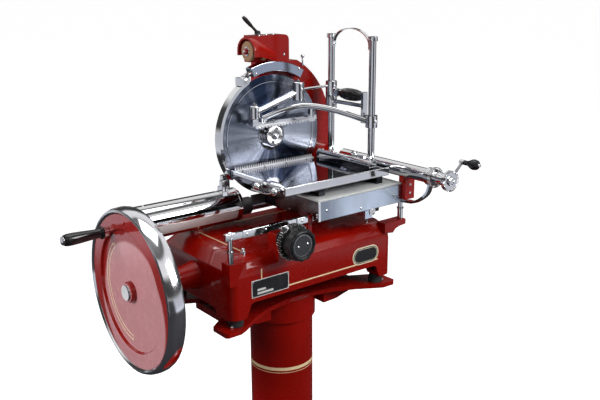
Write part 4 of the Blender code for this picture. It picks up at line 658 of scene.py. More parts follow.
# Carriage side plating, painted darker towards both ends as painted shade round a painted highlight in the middle
BRUSHED = Chrome("brushed_carriage_side", "chrome", (0.74, 0.84, 0.97), 0.14, 0.24, 0.0, 0.6)
SMOKED = Chrome("dark_guard_plating", "chrome", (0.44, 0.50, 0.62), 0.05, 0.14)
HUB = Chrome("shaded_hub_steel", "steel", (0.46, 0.46, 0.48), 0.05, 0.14)
TEETH = Satin("bright_teeth", "chrome", (0.90, 0.90, 0.92))
LIP = Satin("satin_tube_lip", "chrome", (0.84, 0.86, 0.84))
# Tray plating painted dark as a painted reflection of the dark blade, and painted near-black below 1.0605 m as painted
# shade
TRAY_PAINTED_DARK = Chrome("tray_mirror_painted_dark", "chrome", (0.22, 0.23, 0.28), 0.03, 0.09, 1.0605)
CAP = Satin("satin_shaft_cap", "steel", (0.86, 0.86, 0.87))
SOFT = Chrome("soft_rim_chrome", "chrome", (0.86, 0.86, 0.90), 0.09, 0.17)
DARK = Chrome("dark_plated_steel", "chrome", (0.16, 0.145, 0.15), 0.14, 0.30)
GLOSSY = Plastic("glossy_black_grip", "black_plastic", (0.008, 0.008, 0.009), 0.07)
SATIN_BLACK = Plastic("satin_black_face", "black_plastic", (0.035, 0.037, 0.042), 0.38)
FIELD = Plastic("plate_black_paint", "black_plastic", (0.014, 0.014, 0.017), 0.28)
CREAM = Marking("badge_cream_enamel", "enamel", (0.95, 0.86, 0.62))
SATIN_PLATE = Satin("satin_top_plate", "white_plate")


def release_all() -> None:
    active = bpy.context.view_layer.objects.active
    if active and active.mode != "OBJECT":
        bpy.ops.object.mode_set(mode="OBJECT")
    bpy.ops.object.select_all(action="DESELECT")


def take(item: bpy.types.Object) -> None:
    """Select one object alone and make it the active one.

    Args:
        item: the object.
    """
    release_all()
    item.select_set(True)
    bpy.context.view_layer.objects.active = item


class Shape:
    """One mesh on the bench: it starts as a primitive and is shaped with Blender's own tools."""

    made = 0

    def __init__(self, name: str) -> None:
        """Take the object that was just added and name it.

        Args:
            name: the piece's name.
        """
        self.item = bpy.context.view_layer.objects.active
        self.item.name = name
        self.item.data.name = name
        self.ready = False

    @classmethod
    def block(cls, name: str, low: Point, high: Point, bevel: float = 0.001, steps: int = 3) -> Shape:
        """A rectangular block with rounded edges.

        Args:
            name: the piece's name.
            low: its lowest corner.
            high: its highest corner.
            bevel: width of the rounding.
            steps: faces across the rounding.

        Returns:
            The shape.
        """
        release_all()
        start, end = Vector(low), Vector(high)
        bpy.ops.mesh.primitive_cube_add(size=1.0, location=(start + end) / 2, scale=end - start)
        shape = cls(name).settle()
        if bevel:
            with shape.editing():
                bpy.ops.mesh.select_all(action="SELECT")
                bpy.ops.mesh.bevel(offset=bevel, segments=steps, profile=0.5, affect="EDGES")
        return shape

    @classmethod
    def turned(cls, name: str, axis: Axis, centre: Sequence[float], sides: int, profile: Profile) -> Shape:
        """Draw a round piece out ring by ring, as on a lathe.

        A profile that ends on the axis gives a solid piece. Any other closes on itself round a bore.

        Args:
            name: the piece's name.
            axis: the lathe's axis.
            centre: the point where the distance is 0.
            sides: vertices of each ring.
            profile: (radius, distance along the axis) of each ring.

        Returns:
            The shape.
        """
        release_all()
        middle = Vector(centre)
        bored = profile[-1][0] > 0.0
        radius, place = profile[0]
        bpy.ops.mesh.primitive_circle_add(
            vertices=sides, radius=radius, fill_type="NOTHING" if bored else "NGON",
            location=middle + axis.direction * place, rotation=axis.turn)
        shape = cls(name).settle()
        rings = [*profile[1:], profile[0]] if bored else profile[1:]
        with shape.editing():
            bpy.ops.mesh.select_all(action="SELECT")
            for next_radius, next_place in rings:
                bpy.ops.mesh.extrude_region_move(
                    TRANSFORM_OT_translate={"value": axis.direction * (next_place - place)})
                next_radius = max(next_radius, POINT_RADIUS)
                share = next_radius / radius
                bpy.ops.transform.resize(value=(share, share, share),
                                         center_override=middle + axis.direction * next_place)
                radius, place = next_radius, next_place
            bpy.ops.mesh.select_all(action="SELECT")
            bpy.ops.mesh.remove_doubles(threshold=WELD_GAP)
            bpy.ops.mesh.normals_make_consistent(inside=False)
        return shape

    @classmethod
    def plate(cls, name: str, outline: Sequence[Vector | Point], thickness: Vector | Point) -> Shape:
        """Trace a flat outline point by point, fill it and pull it to its thickness.

        Args:
            name: the piece's name.
            outline: corner points in order.
            thickness: vector from the traced face to the other one.

        Returns:
            The shape.
        """
        release_all()
        bpy.ops.mesh.primitive_plane_add(size=0.001, location=outline[0])
        shape = cls(name).settle()
        with shape.editing():
            bpy.ops.mesh.select_all(action="SELECT")
            bpy.ops.mesh.merge(type="CENTER")
            for before, after in zip(outline, outline[1:]):
                bpy.ops.mesh.extrude_region_move(
                    TRANSFORM_OT_translate={"value": Vector(after) - Vector(before)})
            bpy.ops.mesh.select_all(action="SELECT")
            bpy.ops.mesh.edge_face_add()
            bpy.ops.mesh.extrude_region_move(TRANSFORM_OT_translate={"value": Vector(thickness)})
            bpy.ops.mesh.select_all(action="SELECT")
            bpy.ops.mesh.normals_make_consistent(inside=False)
        return shape

    @classmethod
    def bar(cls, name: str, radius: float, *path: Point) -> Shape:
        """Bend a round bar along a path.

        Args:
            name: the piece's name.
            radius: half its width.
            path: the points of its centre line.

        Returns:
            The shape.
        """
        release_all()
        bpy.ops.curve.primitive_nurbs_path_add(location=(0, 0, 0))
        shape = cls(name)
        curve = shape.item.data
        curve.splines.clear()
        spline = curve.splines.new("BEZIER")
        spline.bezier_points.add(len(path) - 1)
        for knot, place in zip(spline.bezier_points, path):
            knot.co = Vector(place)
            knot.handle_left_type = knot.handle_right_type = "AUTO"
        curve.dimensions = "3D"
        curve.resolution_u = 10
        curve.bevel_depth = radius
        curve.bevel_resolution = 5
        curve.use_fill_caps = True
        bpy.ops.object.convert(target="MESH")
        shape.item = bpy.context.view_layer.objects.active
        with shape.editing():
            bpy.ops.mesh.select_all(action="SELECT")
            bpy.ops.mesh.remove_doubles(threshold=1e-6)
            bpy.ops.mesh.normals_make_consistent(inside=False)
        return shape

    @classmethod
    def from_cad(cls, node: str, name: str) -> Shape:
        """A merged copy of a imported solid, ready to be rounded.

        Args:
            node: the solid's name.
            name: the piece's name.

        Returns:
            The shape.
        """
        item = bpy.data.objects.new(name, frame["nodes"][node].data.copy())
        bpy.context.collection.objects.link(item)
        take(item)
        shape = cls(name)
        bpy.ops.mesh.customdata_custom_splitnormals_clear()
        item.data.materials.clear()
        with shape.editing():
            bpy.ops.mesh.select_all(action="SELECT")
            bpy.ops.mesh.remove_doubles(threshold=WELD_GAP)
            bpy.ops.mesh.dissolve_limited(angle_limit=FLAT_ANGLE)
            bpy.ops.mesh.normals_make_consistent(inside=False)
        return shape

    def editing(self) -> Editing:
        """Edit mode for the length of a with block."""
        return Editing(self.item)

    def settle(self) -> Shape:
        """Put the object's place and size into its mesh."""
        take(self.item)
        bpy.ops.object.transform_apply(location=True, rotation=True, scale=True)
        return self

    def modified(self, kind: str, **settings: object) -> Shape:
        """Add one modifier and apply it.

        Args:
            kind: Blender's type name.
            settings: the modifier's settings by name.

        Returns:
            The same shape.
        """
        modifier = self.item.modifiers.new("shaping", kind)
        for key, value in settings.items():
            setattr(modifier, key, value)
        take(self.item)
        bpy.ops.object.modifier_apply(modifier=modifier.name)
        return self

    def rounded(self, width: float, steps: int = 2) -> Shape:
        """Round the sharp edges to this width, with this many faces across."""
        return self.modified("BEVEL", width=width, segments=steps, limit_method="ANGLE", angle_limit=SHARP_ANGLE,
                             use_clamp_overlap=True, harden_normals=False)

    def less(self, *tools: Shape) -> Shape:
        """Cut other shapes out of this one and throw them away."""
        return self._combine("DIFFERENCE", tools)

    def plus(self, *others: Shape) -> Shape:
        """Weld other shapes onto this one."""
        return self._combine("UNION", others)

    def _combine(self, operation: str, tools: Sequence[Shape]) -> Shape:
        """Apply one boolean after another.

        Args:
            operation: Blender's name of the operation.
            tools: the other shapes, which are used up.

        Returns:
            The same shape.
        """
        for tool in tools:
            self.modified("BOOLEAN", operation=operation, solver="EXACT", object=tool.item)
            tool.remove()
        return self

    def remove(self) -> None:
        """Throw the object away."""
        bpy.data.objects.remove(self.item, do_unlink=True)

    def copied(self, name: str, move: Vector | Point = (0, 0, 0)) -> Shape:
        """A second piece of the same shape with its own mesh.

        Args:
            name: the copy's name.
            move: how far it lies from the first.

        Returns:
            The copy.
        """
        item = bpy.data.objects.new(name, self.item.data.copy())
        bpy.context.collection.objects.link(item)
        item.location = Vector(move)
        take(item)
        copy = Shape(name).settle()
        copy.ready = self.ready
        return copy

    def spun(self, angle: float, axis: Axis, centre: Vector | Point) -> Shape:
        """Turn the mesh.

        Args:
            angle: in radians.
            axis: direction of the axis.
            centre: a point of the axis.

        Returns:
            The same shape.
        """
        place = Matrix.Translation(Vector(centre))
        self.item.matrix_world = place @ Matrix.Rotation(angle, 4, axis.value) @ place.inverted()
        return self.settle()

    def ringed(self, name: str, count: int, centre: Vector | Point, body: str, finish: Finish) -> None:
        """Set copies of this piece at equal angles round the Y axis and throw the piece itself away.

        Args:
            name: stem of the copies' names.
            count: how many.
            centre: a point of the axis.
            body: the CAD body that they ride on.
            finish: what covers them.
        """
        self.finished(finish)
        for step in range(count):
            turned = self.copied(f"{name}_{step:02d}").spun(math.tau * step / count, Axis.Y, centre)
            turned.dressed(body, finish)
        self.remove()

    def finished(self, finish: Finish) -> Shape:
        """Smooth the shading, keep flat faces flat and put the finish on.

        Args:
            finish: what covers the piece.

        Returns:
            The same shape.
        """
        take(self.item)
        bpy.ops.object.shade_smooth_by_angle(angle=SMOOTH_ANGLE)
        self.modified("WEIGHTED_NORMAL", keep_sharp=True, mode="FACE_AREA_WITH_ANGLE")
        self.item.data.materials.clear()
        self.item.data.materials.append(finish.material())
        self.ready = True
        return self

    def dressed(self, body: str, finish: Finish, replaces: Sequence[str] = ()) -> None:
        """Give the piece its finish and its body.

        Args:
            body: the CAD body that it rides on.
            finish: what covers it.
            replaces: the CAD nodes that it stands for.
        """
        if not self.ready:
            self.finished(finish)
        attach(self.item, body)
        if replaces:
            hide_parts(*replaces)
        Shape.made += 1
        log.info("%s: %d faces on %s", self.item.name, len(self.item.data.polygons), body)


class Editing:
    """Edit mode on one object, left again at the end of the with block."""

    def __init__(self, item: bpy.types.Object) -> None:
        """Remember the object."""
        self.item = item

    def __enter__(self) -> bmesh.types.BMesh:
        """Enter edit mode and hand over the mesh for selecting."""
        take(self.item)
        bpy.ops.object.mode_set(mode="EDIT")
        bpy.ops.mesh.select_mode(type="VERT")
        return bmesh.from_edit_mesh(self.item.data)

    def __exit__(self, *problem: object) -> None:
        """Leave edit mode."""
        bpy.ops.object.mode_set(mode="OBJECT")


def pick_faces(mesh: bmesh.types.BMesh, test: Callable[[bmesh.types.BMFace], bool]) -> None:
    """Select the faces that pass a test and nothing else.

    Args:
        mesh: the mesh in edit mode.
        test: what a face has to be.
    """
    bpy.ops.mesh.select_mode(type="FACE")
    bpy.ops.mesh.select_all(action="DESELECT")
    for face in filter(test, mesh.faces):
        face.select_set(True)


def arc(centre: tuple[float, float], radius: float, start: float, end: float, steps: int) -> list[tuple[float, float]]:
    """Points along a circle between two angles in degrees."""
    angles = [math.radians(start + (end - start) * step / steps) for step in range(steps + 1)]
    return [(centre[0] + radius * math.cos(a), centre[1] + radius * math.sin(a)) for a in angles]


@dataclass(frozen=True)
class Saw:
    """Toothed strip that stands square to Y, its teeth in a row along X."""

    left: float
    right: float
    first: float
    teeth: int
    pitch: float
    peak: float
    foot: float
    back: float
    root: float
    tip: float

    def strip(self, name: str, front: float, thick: float) -> Shape:
        """Trace the strip tooth by tooth and pull it to its thickness.

        Args:
            name: the piece's name.
            front: level of its front face along Y.
            thick: its thickness.

        Returns:
            The shape.
        """
        outline = [(self.left, self.back), (self.left, self.root)]
        for step in range(self.teeth):
            start = self.first + step * self.pitch
            outline += [(start, self.root), (start + self.peak, self.tip), (start + self.foot, self.root)]
        outline += [(self.right, self.root), (self.right, self.back)]
        return Shape.plate(name, [(x, front, z) for x, z in outline], (0, thick, 0))


class Head(Enum):
    """The kinds of fastener: (radius, height) of each ring, as shares of the head's radius."""

    SLOTTED = ((0.96, -0.15), (1.0, 0.12), (0.92, 0.36), (0.62, 0.58), (0.3, 0.66), (0.0, 0.68))
    HEX = ((1.0, -0.15), (1.0, 0.62), (0.9, 0.74), (0.55, 0.76), (0.5, 0.95), (0.38, 1.05), (0.0, 1.07))
    ROUND = ((1.0, -0.15), (1.0, 0.35), (0.9, 0.5), (0.45, 0.55), (0.38, 0.5), (0.0, 0.48))
    BALL = ((0.55, -1.5), (0.5, -1.3), (0.3, -1.2), (0.3, -0.95), (0.6, -0.8), (0.88, -0.48), (1.0, 0.0),
            (0.88, 0.48), (0.6, 0.8), (0.3, 0.95), (0.0, 1.0))


class Fasteners:
    """Screws, bolts and nuts: each kind is modelled once, and every copy gets the next number."""

    # The slot of a screw: its turn in radians, and its reach, half width and depth as shares of the head's radius
    SLOT_TURN = 0.6
    SLOT_REACH = 1.2
    SLOT_HALF = 0.13
    SLOT_LEVEL = 1.58

    def __init__(self) -> None:
        """Start with an empty drawer."""
        self.masters: dict[tuple, Shape] = {}
        self.count = 0

    def master(self, kind: Head, facing: Facing, radius: float, finish: Finish) -> Shape:
        """Model one fastener at the origin.

        Args:
            kind: the kind of head.
            facing: the way the head points.
            radius: of the head.
            finish: what covers it.

        Returns:
            The fastener.
        """
        key = (kind, facing, radius, finish.name)
        if key in self.masters:
            return self.masters[key]
        axis, sign = facing.value
        name = f"master_{len(self.masters)}"
        profile = [(r * radius, h * radius * sign) for r, h in kind.value]
        shape = Shape.turned(name, axis, (0, 0, 0), 6 if kind is Head.HEX else 32, profile)
        if kind is Head.SLOTTED:
            across = Vector((1.0, 1.0, 1.0)) * radius * self.SLOT_REACH
            setattr(across, "z" if axis is Axis.Y else "y", radius * self.SLOT_HALF)
            middle = axis.direction * sign * radius * self.SLOT_LEVEL
            slot = Shape.block(name + "_slot", middle - across, middle + across, 0)
            shape.less(slot.spun(self.SLOT_TURN, axis, (0, 0, 0)))
        self.masters[key] = shape.finished(finish)
        return shape

    def clear(self) -> None:
        """Throw the masters away."""
        for master in self.masters.values():
            master.remove()


@dataclass
class Assembly:
    """A sub-assembly, which takes its fasteners from the drawer that all of them share."""

    drawer: Fasteners

    def build(self) -> None:
        """Model and dress every piece. Each sub-assembly has its own."""
        raise NotImplementedError

    def fasten(self, name: str, body: str, facing: Facing, radius: float, *spots: Sequence[float],
               kind: Head = Head.SLOTTED, finish: Finish = CHROME) -> None:
        """Copy one fastener to several spots.

        Args:
            name: stem of the pieces' names.
            body: the CAD body they ride on.
            facing: the way the heads point.
            radius: of the head.
            spots: each head's centre on the surface.
            kind: the kind of head.
            finish: what covers it.
        """
        master = self.drawer.master(kind, facing, radius, finish)
        for spot in spots:
            self.drawer.count += 1
            master.copied(f"{name}_{self.drawer.count:02d}", spot).dressed(body, finish)


def add_blocks(body: str, finish: Finish, *rows: tuple[str, Point, Point, float]) -> None:
    """Model rounded blocks.

    Args:
        body: the CAD body that they ride on.
        finish: what covers them.
        rows: name, lowest corner, highest corner and rounding of each.
    """
    for name, low, high, bevel in rows:
        Shape.block(name, low, high, bevel).dressed(body, finish)


def add_turned(body: str, finish: Finish, axis: Axis, *rows: tuple[str, Sequence[float], int, Profile]) -> None:
    """Model round pieces.

    Args:
        body: the CAD body that they ride on.
        finish: what covers them.
        axis: the lathe's axis.
        rows: name, centre, number of sides and profile of each.
    """
    for name, centre, sides, profile in rows:
        Shape.turned(name, axis, centre, sides, profile).dressed(body, finish)


@dataclass
class BaseTrim(Assembly):
    """Gold lines, the bare plates, the oiler and the small screws of the base and column."""

    front: float = -0.161
    top: float = 0.9300
    proud: float = 0.00028
    band_low: float = 0.5545
    band_high: float = 0.5632

    def build(self) -> None:
        """Dress the casting's front, top and column."""
        self._stripes()
        self._data_plate()
        self._badge()
        self._column_band()
        self._oiler()
        self.fasten("slope_screw", "frame", Facing.UP, 0.0042, (-0.1597, -0.128, 0.9193), (0.196, -0.12, 0.9302))
        self.fasten("seat_bolt", "frame", Facing.UP, 0.003, (-0.224, -0.13, 0.9262), (-0.236, -0.13, 0.9262),
                    kind=Head.HEX)
        corners = [(x, y, 0.7616) for y in (-0.14, 0.14) for x in (-0.25, 0.238)]
        self.fasten("head_bolt", "frame", Facing.UP, 0.006, *corners, kind=Head.HEX)

    def _stripes(self) -> None:
        """The painted lines, a hair proud of the enamel: a long one, an upright one and two on the top."""
        front = (self.front - self.proud, self.front + 0.0006)
        level = (self.top - 0.0006, self.top + self.proud)
        for name, x, y, z in (("long", (-0.097, 0.200), front, (0.8358, 0.8392)),
                              ("upright", (-0.1782, -0.1748), front, (0.8735, 0.8985)),
                              ("top_left", (-0.1945, -0.1911), (-0.100, 0.100), level),
                              ("top_back", (-0.1945, 0.10), (0.100, 0.1034), level)):
            line = Shape.block("gold_line_" + name, (x[0], y[0], z[0]), (x[1], y[1], z[1]), self.proud * 0.4, 1)
            line.dressed("frame", GOLD)

    def _data_plate(self) -> None:
        """Bare black plate with a bright border and four rivets. Its printing is left out."""
        low, high = Vector((-0.206, self.front - 0.0011, 0.831)), Vector((-0.097, self.front + 0.0005, 0.874))
        border = Shape.block("data_plate", low, high, 0.0005)
        with border.editing() as mesh:
            pick_faces(mesh, lambda face: face.normal.y < -0.99 and face.calc_area() > 0.003)
            bpy.ops.mesh.inset(thickness=0.0016, depth=-0.0003)
        border.dressed("frame", PRINT)
        inset = Vector((0.002, 0.0, 0.002))
        add_blocks("frame", FIELD, ("data_plate_field", low + inset - Vector((0.0, 0.00005, 0.0)),
                                    Vector((high.x, low.y + 0.0006, high.z)) - inset, 0.0002))
        add_blocks("frame", PRINT, *(
            (f"data_plate_blank_{row}", (-0.190, low.y - 0.0002, level), (end, low.y + 0.0004, level + 0.0052), 0.0001)
            for row, (end, level) in enumerate(((-0.166, 0.8460), (-0.144, 0.8375)))))
        rivets = [(x, low.y + 0.0001, z) for x in (low.x + 0.004, high.x - 0.004) for z in (0.8345, 0.8705)]
        self.fasten("plate_rivet", "frame", Facing.FRONT, 0.0014, *rivets, kind=Head.ROUND)

    def _badge(self) -> None:
        """Bare oval badge of four layers, cream and black by turns, each smaller and prouder than the last."""
        for step, (grow, proud, finish) in enumerate(
                ((0.0, 0.0010, CREAM), (0.0030, 0.0013, FIELD), (0.0052, 0.0015, CREAM), (0.0064, 0.0017, FIELD))):
            half, tall = 0.0455 - grow, 0.0232 - grow
            outline = []
            for side, start in ((1, -90.0), (-1, 90.0)):
                outline += arc((side * (half - tall), 0.0), tall, start, start + 180.0, 20)
            points = [(0.156 + x, self.front + 0.0005, 0.858 + z) for x, z in outline]
            shape = Shape.plate(f"oval_badge_{step}", points, (0, -proud - 0.0005, 0))
            shape.rounded(0.0002, 1).dressed("frame", finish)

    def _column_band(self) -> None:
        """The gold band round the column, with a thin second line."""
        inner, outer = COLUMN_RADIUS - 0.001, COLUMN_RADIUS + self.proud
        add_turned("frame", GOLD, Axis.Z, *(
            (name, (0, 0, 0), 128, [(inner, low), (outer, low), (outer, high), (inner, high)])
            for name, low, high in (("column_band", self.band_low, self.band_high),
                                    ("column_band_fine", self.band_low - 0.0065, self.band_low - 0.0052))))

    @staticmethod
    def _oiler() -> None:
        """Ball oiler with its cup on the sloping edge."""
        add_turned("frame", CHROME, Axis.Z, (
            "oiler_cup", (-0.198, -0.118, 0.929), 40,
            [(0.0062, -0.004), (0.0062, 0.004), (0.0050, 0.0065), (0.0040, 0.0068), (0.0, 0.0068)]
        ), (
            "oiler_ball", (-0.198, -0.118, 0.9352), 32,
            [(0.0012, 0.0), (0.0034, 0.0012), (0.0046, 0.0044), (0.0034, 0.0076), (0.0, 0.0088)]))


@dataclass
class Flywheel(Assembly):
    """Line work on the web, the shaft's cap, a plug and the crank's grip."""

    inner: float = 0.1135
    outer: float = 0.1265
    start: float = 52.0
    end: float = -87.0
    width: float = 0.0018
    crank_pin: Point = (FLYWHEEL_FACE, 0.088194, 0.982023)

    def _crescent(self, margin: float) -> list[tuple[float, float]]:
        """Outline of the curved field on the web.

        Args:
            margin: how far it is drawn in on every side.

        Returns:
            Its corners as (y, z).
        """
        turn = math.degrees(margin / self.inner)
        start, end = self.start - turn, self.end + turn
        return (arc((0, SHAFT_LEVEL), self.outer - margin, start, end, 72)
                + arc((0, SHAFT_LEVEL), self.inner + margin, end, start, 72))

    def build(self) -> None:
        """Draw the closed line and add the cap, the plug and the grip."""
        web = FLYWHEEL_FACE + 0.008
        line = Shape.plate("web_line", [(web + 0.0006, y, z) for y, z in self._crescent(0.0)], (-0.0013, 0, 0))
        hole = [(web + 0.002, y, z) for y, z in self._crescent(self.width)]
        line.less(Shape.plate("web_line_hole", hole, (-0.006, 0, 0))).dressed("flywheel", GOLD_IN_PAINTED_REFLECTION)
        add_turned("flywheel", CAP, Axis.X, (
            "shaft_cap_face", (FLYWHEEL_FACE - 0.0089, 0, SHAFT_LEVEL), 72,
            [(0.0176, 0.0), (0.0180, -0.0008), (0.0160, -0.0014), (0.0135, -0.0008), (0.0110, -0.0006),
             (0.0, -0.0006)]))
        self.fasten("web_plug", "flywheel", Facing.LEFT, 0.003, (FLYWHEEL_FACE + 0.0002, 0.0, SHAFT_LEVEL + 0.166),
                    kind=Head.ROUND, finish=ENAMEL)
        grip = Shape.turned("crank_grip", Axis.X, self.crank_pin, 72, [
            (0.0088, -0.0125), (0.0138, -0.0126), (0.0152, -0.0142), (0.0156, -0.0165), (0.0148, -0.0190),
            (0.0122, -0.0205), (0.0114, -0.0240), (0.0114, -0.0330), (0.0124, -0.0500), (0.0138, -0.0700),
            (0.0146, -0.0880), (0.0144, -0.1000), (0.0132, -0.1065), (0.0115, -0.1090), (0.0088, -0.1092)])
        grip.dressed("flywheel_handle", GLOSSY, ["handle_grip"])


@dataclass
class Dial(Assembly):
    """Thickness dial: rim, face, two screws, ticks, flutes and the pointer."""

    centre: Point = (-0.106, -0.2273, 0.958)
    ring_front: float = -0.1991
    ticks: int = 24
    flutes: int = 44
    pointer: Point = (-0.1350, -0.2005, 0.9975)

    def build(self) -> None:
        """Dress the knob and its ring."""
        for name, finish, profile in (
                ("dial_rim", PLASTIC, [(0.0288, 0.0006), (0.0345, 0.0006), (0.0352, -0.0008), (0.0338, -0.0034),
                                       (0.0322, -0.0040), (0.0300, -0.0032), (0.0288, -0.0012)]),
                ("dial_face", SATIN_BLACK, [(0.0288, 0.0004), (0.0287, -0.0009), (0.0262, -0.0010), (0.0258, -0.0004),
                                            (0.0246, -0.0004), (0.0242, -0.0010), (0.0, -0.0010)]),
                ("dial_silver_ring", PLATED, [(0.0256, -0.0003), (0.0256, -0.0011), (0.0249, -0.0011),
                                              (0.0249, -0.0003)])):
            add_turned("dial", finish, Axis.Y, (name, self.centre, 96, profile))
        x, y, z = self.centre
        self.fasten("dial_screw", "dial", Facing.FRONT, 0.0034,
                    *((x + side * 0.0135, y - 0.0009, z + side * 0.0015) for side in (-1, 1)))
        middle = Vector((x, self.ring_front, z))
        tick = Shape.block("tick_master", middle + Vector((-0.0003, -0.0002, 0.0408)),
                           middle + Vector((0.0003, 0.0006, 0.0434)), 0)
        tick.ringed("dial_tick", self.ticks, middle, "frame", PRINT)
        flute = Shape.block("flute_master", middle + Vector((-0.0013, 0.0014, 0.0434)),
                            middle + Vector((0.0013, 0.0112, 0.0452)), 0.0006, 2)
        flute.ringed("dial_flute", self.flutes, middle, "frame", PLATED)
        self._pointer()

    def _pointer(self) -> None:
        """Five-cornered pointer with a sunk face."""
        corner = Vector(self.pointer)
        outline = [(-0.0095, -0.0060), (0.0025, -0.0085), (0.0115, 0.0), (0.0045, 0.0085), (-0.0095, 0.0065)]
        pointer = Shape.plate("dial_pointer", [corner + Vector((x, 0, z)) for x, z in outline], (0, 0.0022, 0))
        with pointer.editing() as mesh:
            pick_faces(mesh, lambda face: abs(face.normal.y) > 0.99 and face.calc_center_median().y < corner.y + 0.001)
            bpy.ops.mesh.inset(thickness=0.0016, depth=-0.0006)
        pointer.rounded(0.0003, 1).dressed("frame", PLATED)


@dataclass
class Rail(Assembly):
    """Clamps, sleeves and collars on the front rail."""

    pillars: tuple[tuple[str, float, float], ...] = (("left", -0.256, 0.926), ("right", 0.2885, 0.930))

    def build(self) -> None:
        """Add the left clamp, the sleeves by the dial and the pillar collars."""
        add_blocks("frame", CHROME,
                   ("rail_end_cap", (-0.2702, -0.1574, 0.9828), (-0.2560, -0.1466, 0.9992), 0.0012),
                   ("rail_sleeve_left", (-0.2240, -0.1592, 0.9818), (-0.1500, -0.1566, 1.0002), 0.0012),
                   ("rail_sleeve_right", (-0.0680, -0.1590, 0.9826), (-0.0340, -0.1566, 0.9996), 0.0012))
        self.fasten("sleeve_screw", "frame", Facing.FRONT, 0.0030,
                    (-0.214, -0.1592, 0.991), (-0.160, -0.1592, 0.991), (-0.052, -0.159, 0.991))
        collar = [(0.0072, 0.0275), (0.0092, 0.0275), (0.0096, 0.0295), (0.0092, 0.0315), (0.0072, 0.0315)]
        add_turned("frame", CHROME, Axis.Z, *((f"pillar_collar_{side}", (x, -0.152, low), 40, collar)
                                              for side, x, low in self.pillars))
        self.fasten("rail_end_bolt", "frame", Facing.UP, 0.0050,
                    (-0.256, -0.152, 0.9990), (0.2885, -0.152, 0.9985), kind=Head.ROUND)
        add_blocks("frame", ENAMEL, ("post_red_cap", (-0.0335, -0.1600, 0.9790), (-0.0195, -0.1572, 1.0010), 0.0010))


@dataclass
class Tube(Assembly):
    """End cap, rings, front lip and screws of the guide tube."""

    centre: tuple[float, float] = (0.100, 0.980)

    def build(self) -> None:
        """Add the tube's rings, its cap, its lip and the saddle screws."""
        for side, place, wide in (("left", -0.3948, 0.006), ("right", -0.0810, 0.008)):
            ring = Shape.turned(f"tube_ring_{side}", Axis.X, (place, *self.centre), 96, [
                (0.0425, 0.0), (0.0446, 0.0), (0.0452, wide / 2), (0.0446, wide), (0.0425, wide)])
            slot = Shape.block("ring_slot", (place - 0.02, 0.03, 0.955), (place + 0.02, 0.085, 0.9838), 0)
            ring.less(slot).dressed("frame", CHROME)
        add_turned("frame", CHROME, Axis.X, (
            "tube_end_cap", (-0.395, *self.centre), 72,
            [(0.036, -0.0001), (0.035, -0.0020), (0.012, -0.0028), (0.011, -0.0050), (0.0, -0.0052)]))
        along = arc(self.centre, 0.0441, 184.0, 217.0, 24) + arc(self.centre, 0.0430, 217.0, 184.0, 24)
        Shape.plate("tube_front_lip", [(-0.3860, y, z) for y, z in along], (0.2950, 0, 0)).dressed("frame", LIP)
        self.fasten("tube_screw", "frame", Facing.UP, 0.0035, (-0.34, 0.100, 1.0236), (-0.13, 0.100, 1.0236))


@dataclass
class Carriage(Assembly):
    """Screws, end plate, keeper bolt, travel stop and bright edges of the carriage."""

    front: float = -0.183
    left: float = -0.0220

    def build(self) -> None:
        """Dress the carriage box."""
        plate = Shape.block("carriage_left_plate", (self.left, -0.1820, 0.9885), (-0.0199, 0.0350, 1.0340), 0.0006)
        plate.less(Shape.block("rail_notch", (-0.0300, -0.1635, 0.9800), (-0.0100, -0.1425, 1.0030), 0))
        plate.dressed("carriage", DARK)
        self.fasten("end_plate_screw", "carriage", Facing.LEFT, 0.0034, (self.left, -0.1700, 1.0142),
                    (self.left, 0.0200, 1.0142), (self.left, -0.0700, 0.9960))
        self.fasten("front_screw", "carriage", Facing.FRONT, 0.0032, (0.2312, self.front, 1.0110),
                    (0.004, self.front, 1.0110), (0.118, self.front, 0.9960))
        self.fasten("keeper_bolt", "carriage", Facing.FRONT, 0.0072, (0.1562, -0.1835, 0.9800), kind=Head.HEX)
        add_turned("carriage", CHROME, Axis.Y, (
            "keeper_washer", (0.1562, self.front + 0.0002, 0.9800), 40,
            [(0.0040, 0.0), (0.0100, 0.0), (0.0103, -0.0008), (0.0100, -0.0016), (0.0040, -0.0016)]))
        add_blocks("carriage", PLASTIC, ("travel_stop", (0.170, -0.1760, 0.9755), (0.187, -0.1640, 0.9875), 0.0012))
        add_blocks("carriage", CHROME,
                   ("carriage_corner_left", (-0.0222, -0.1842, 0.9868), (-0.0150, -0.1822, 1.0352), 0.0006),
                   ("carriage_wiper_left", (-0.0204, -0.1832, 1.0352), (0.2590, -0.1812, 1.0364), 0.0003))
        self.fasten("block_screw", "carriage", Facing.FRONT, 0.0036, (0.277, -0.1960, 1.012),
                    (0.277, -0.1960, 1.034), kind=Head.ROUND)
        self.fasten("strap_bolt", "carriage", Facing.DOWN, 0.0038, (0.277, -0.1842, 0.9950), kind=Head.HEX)


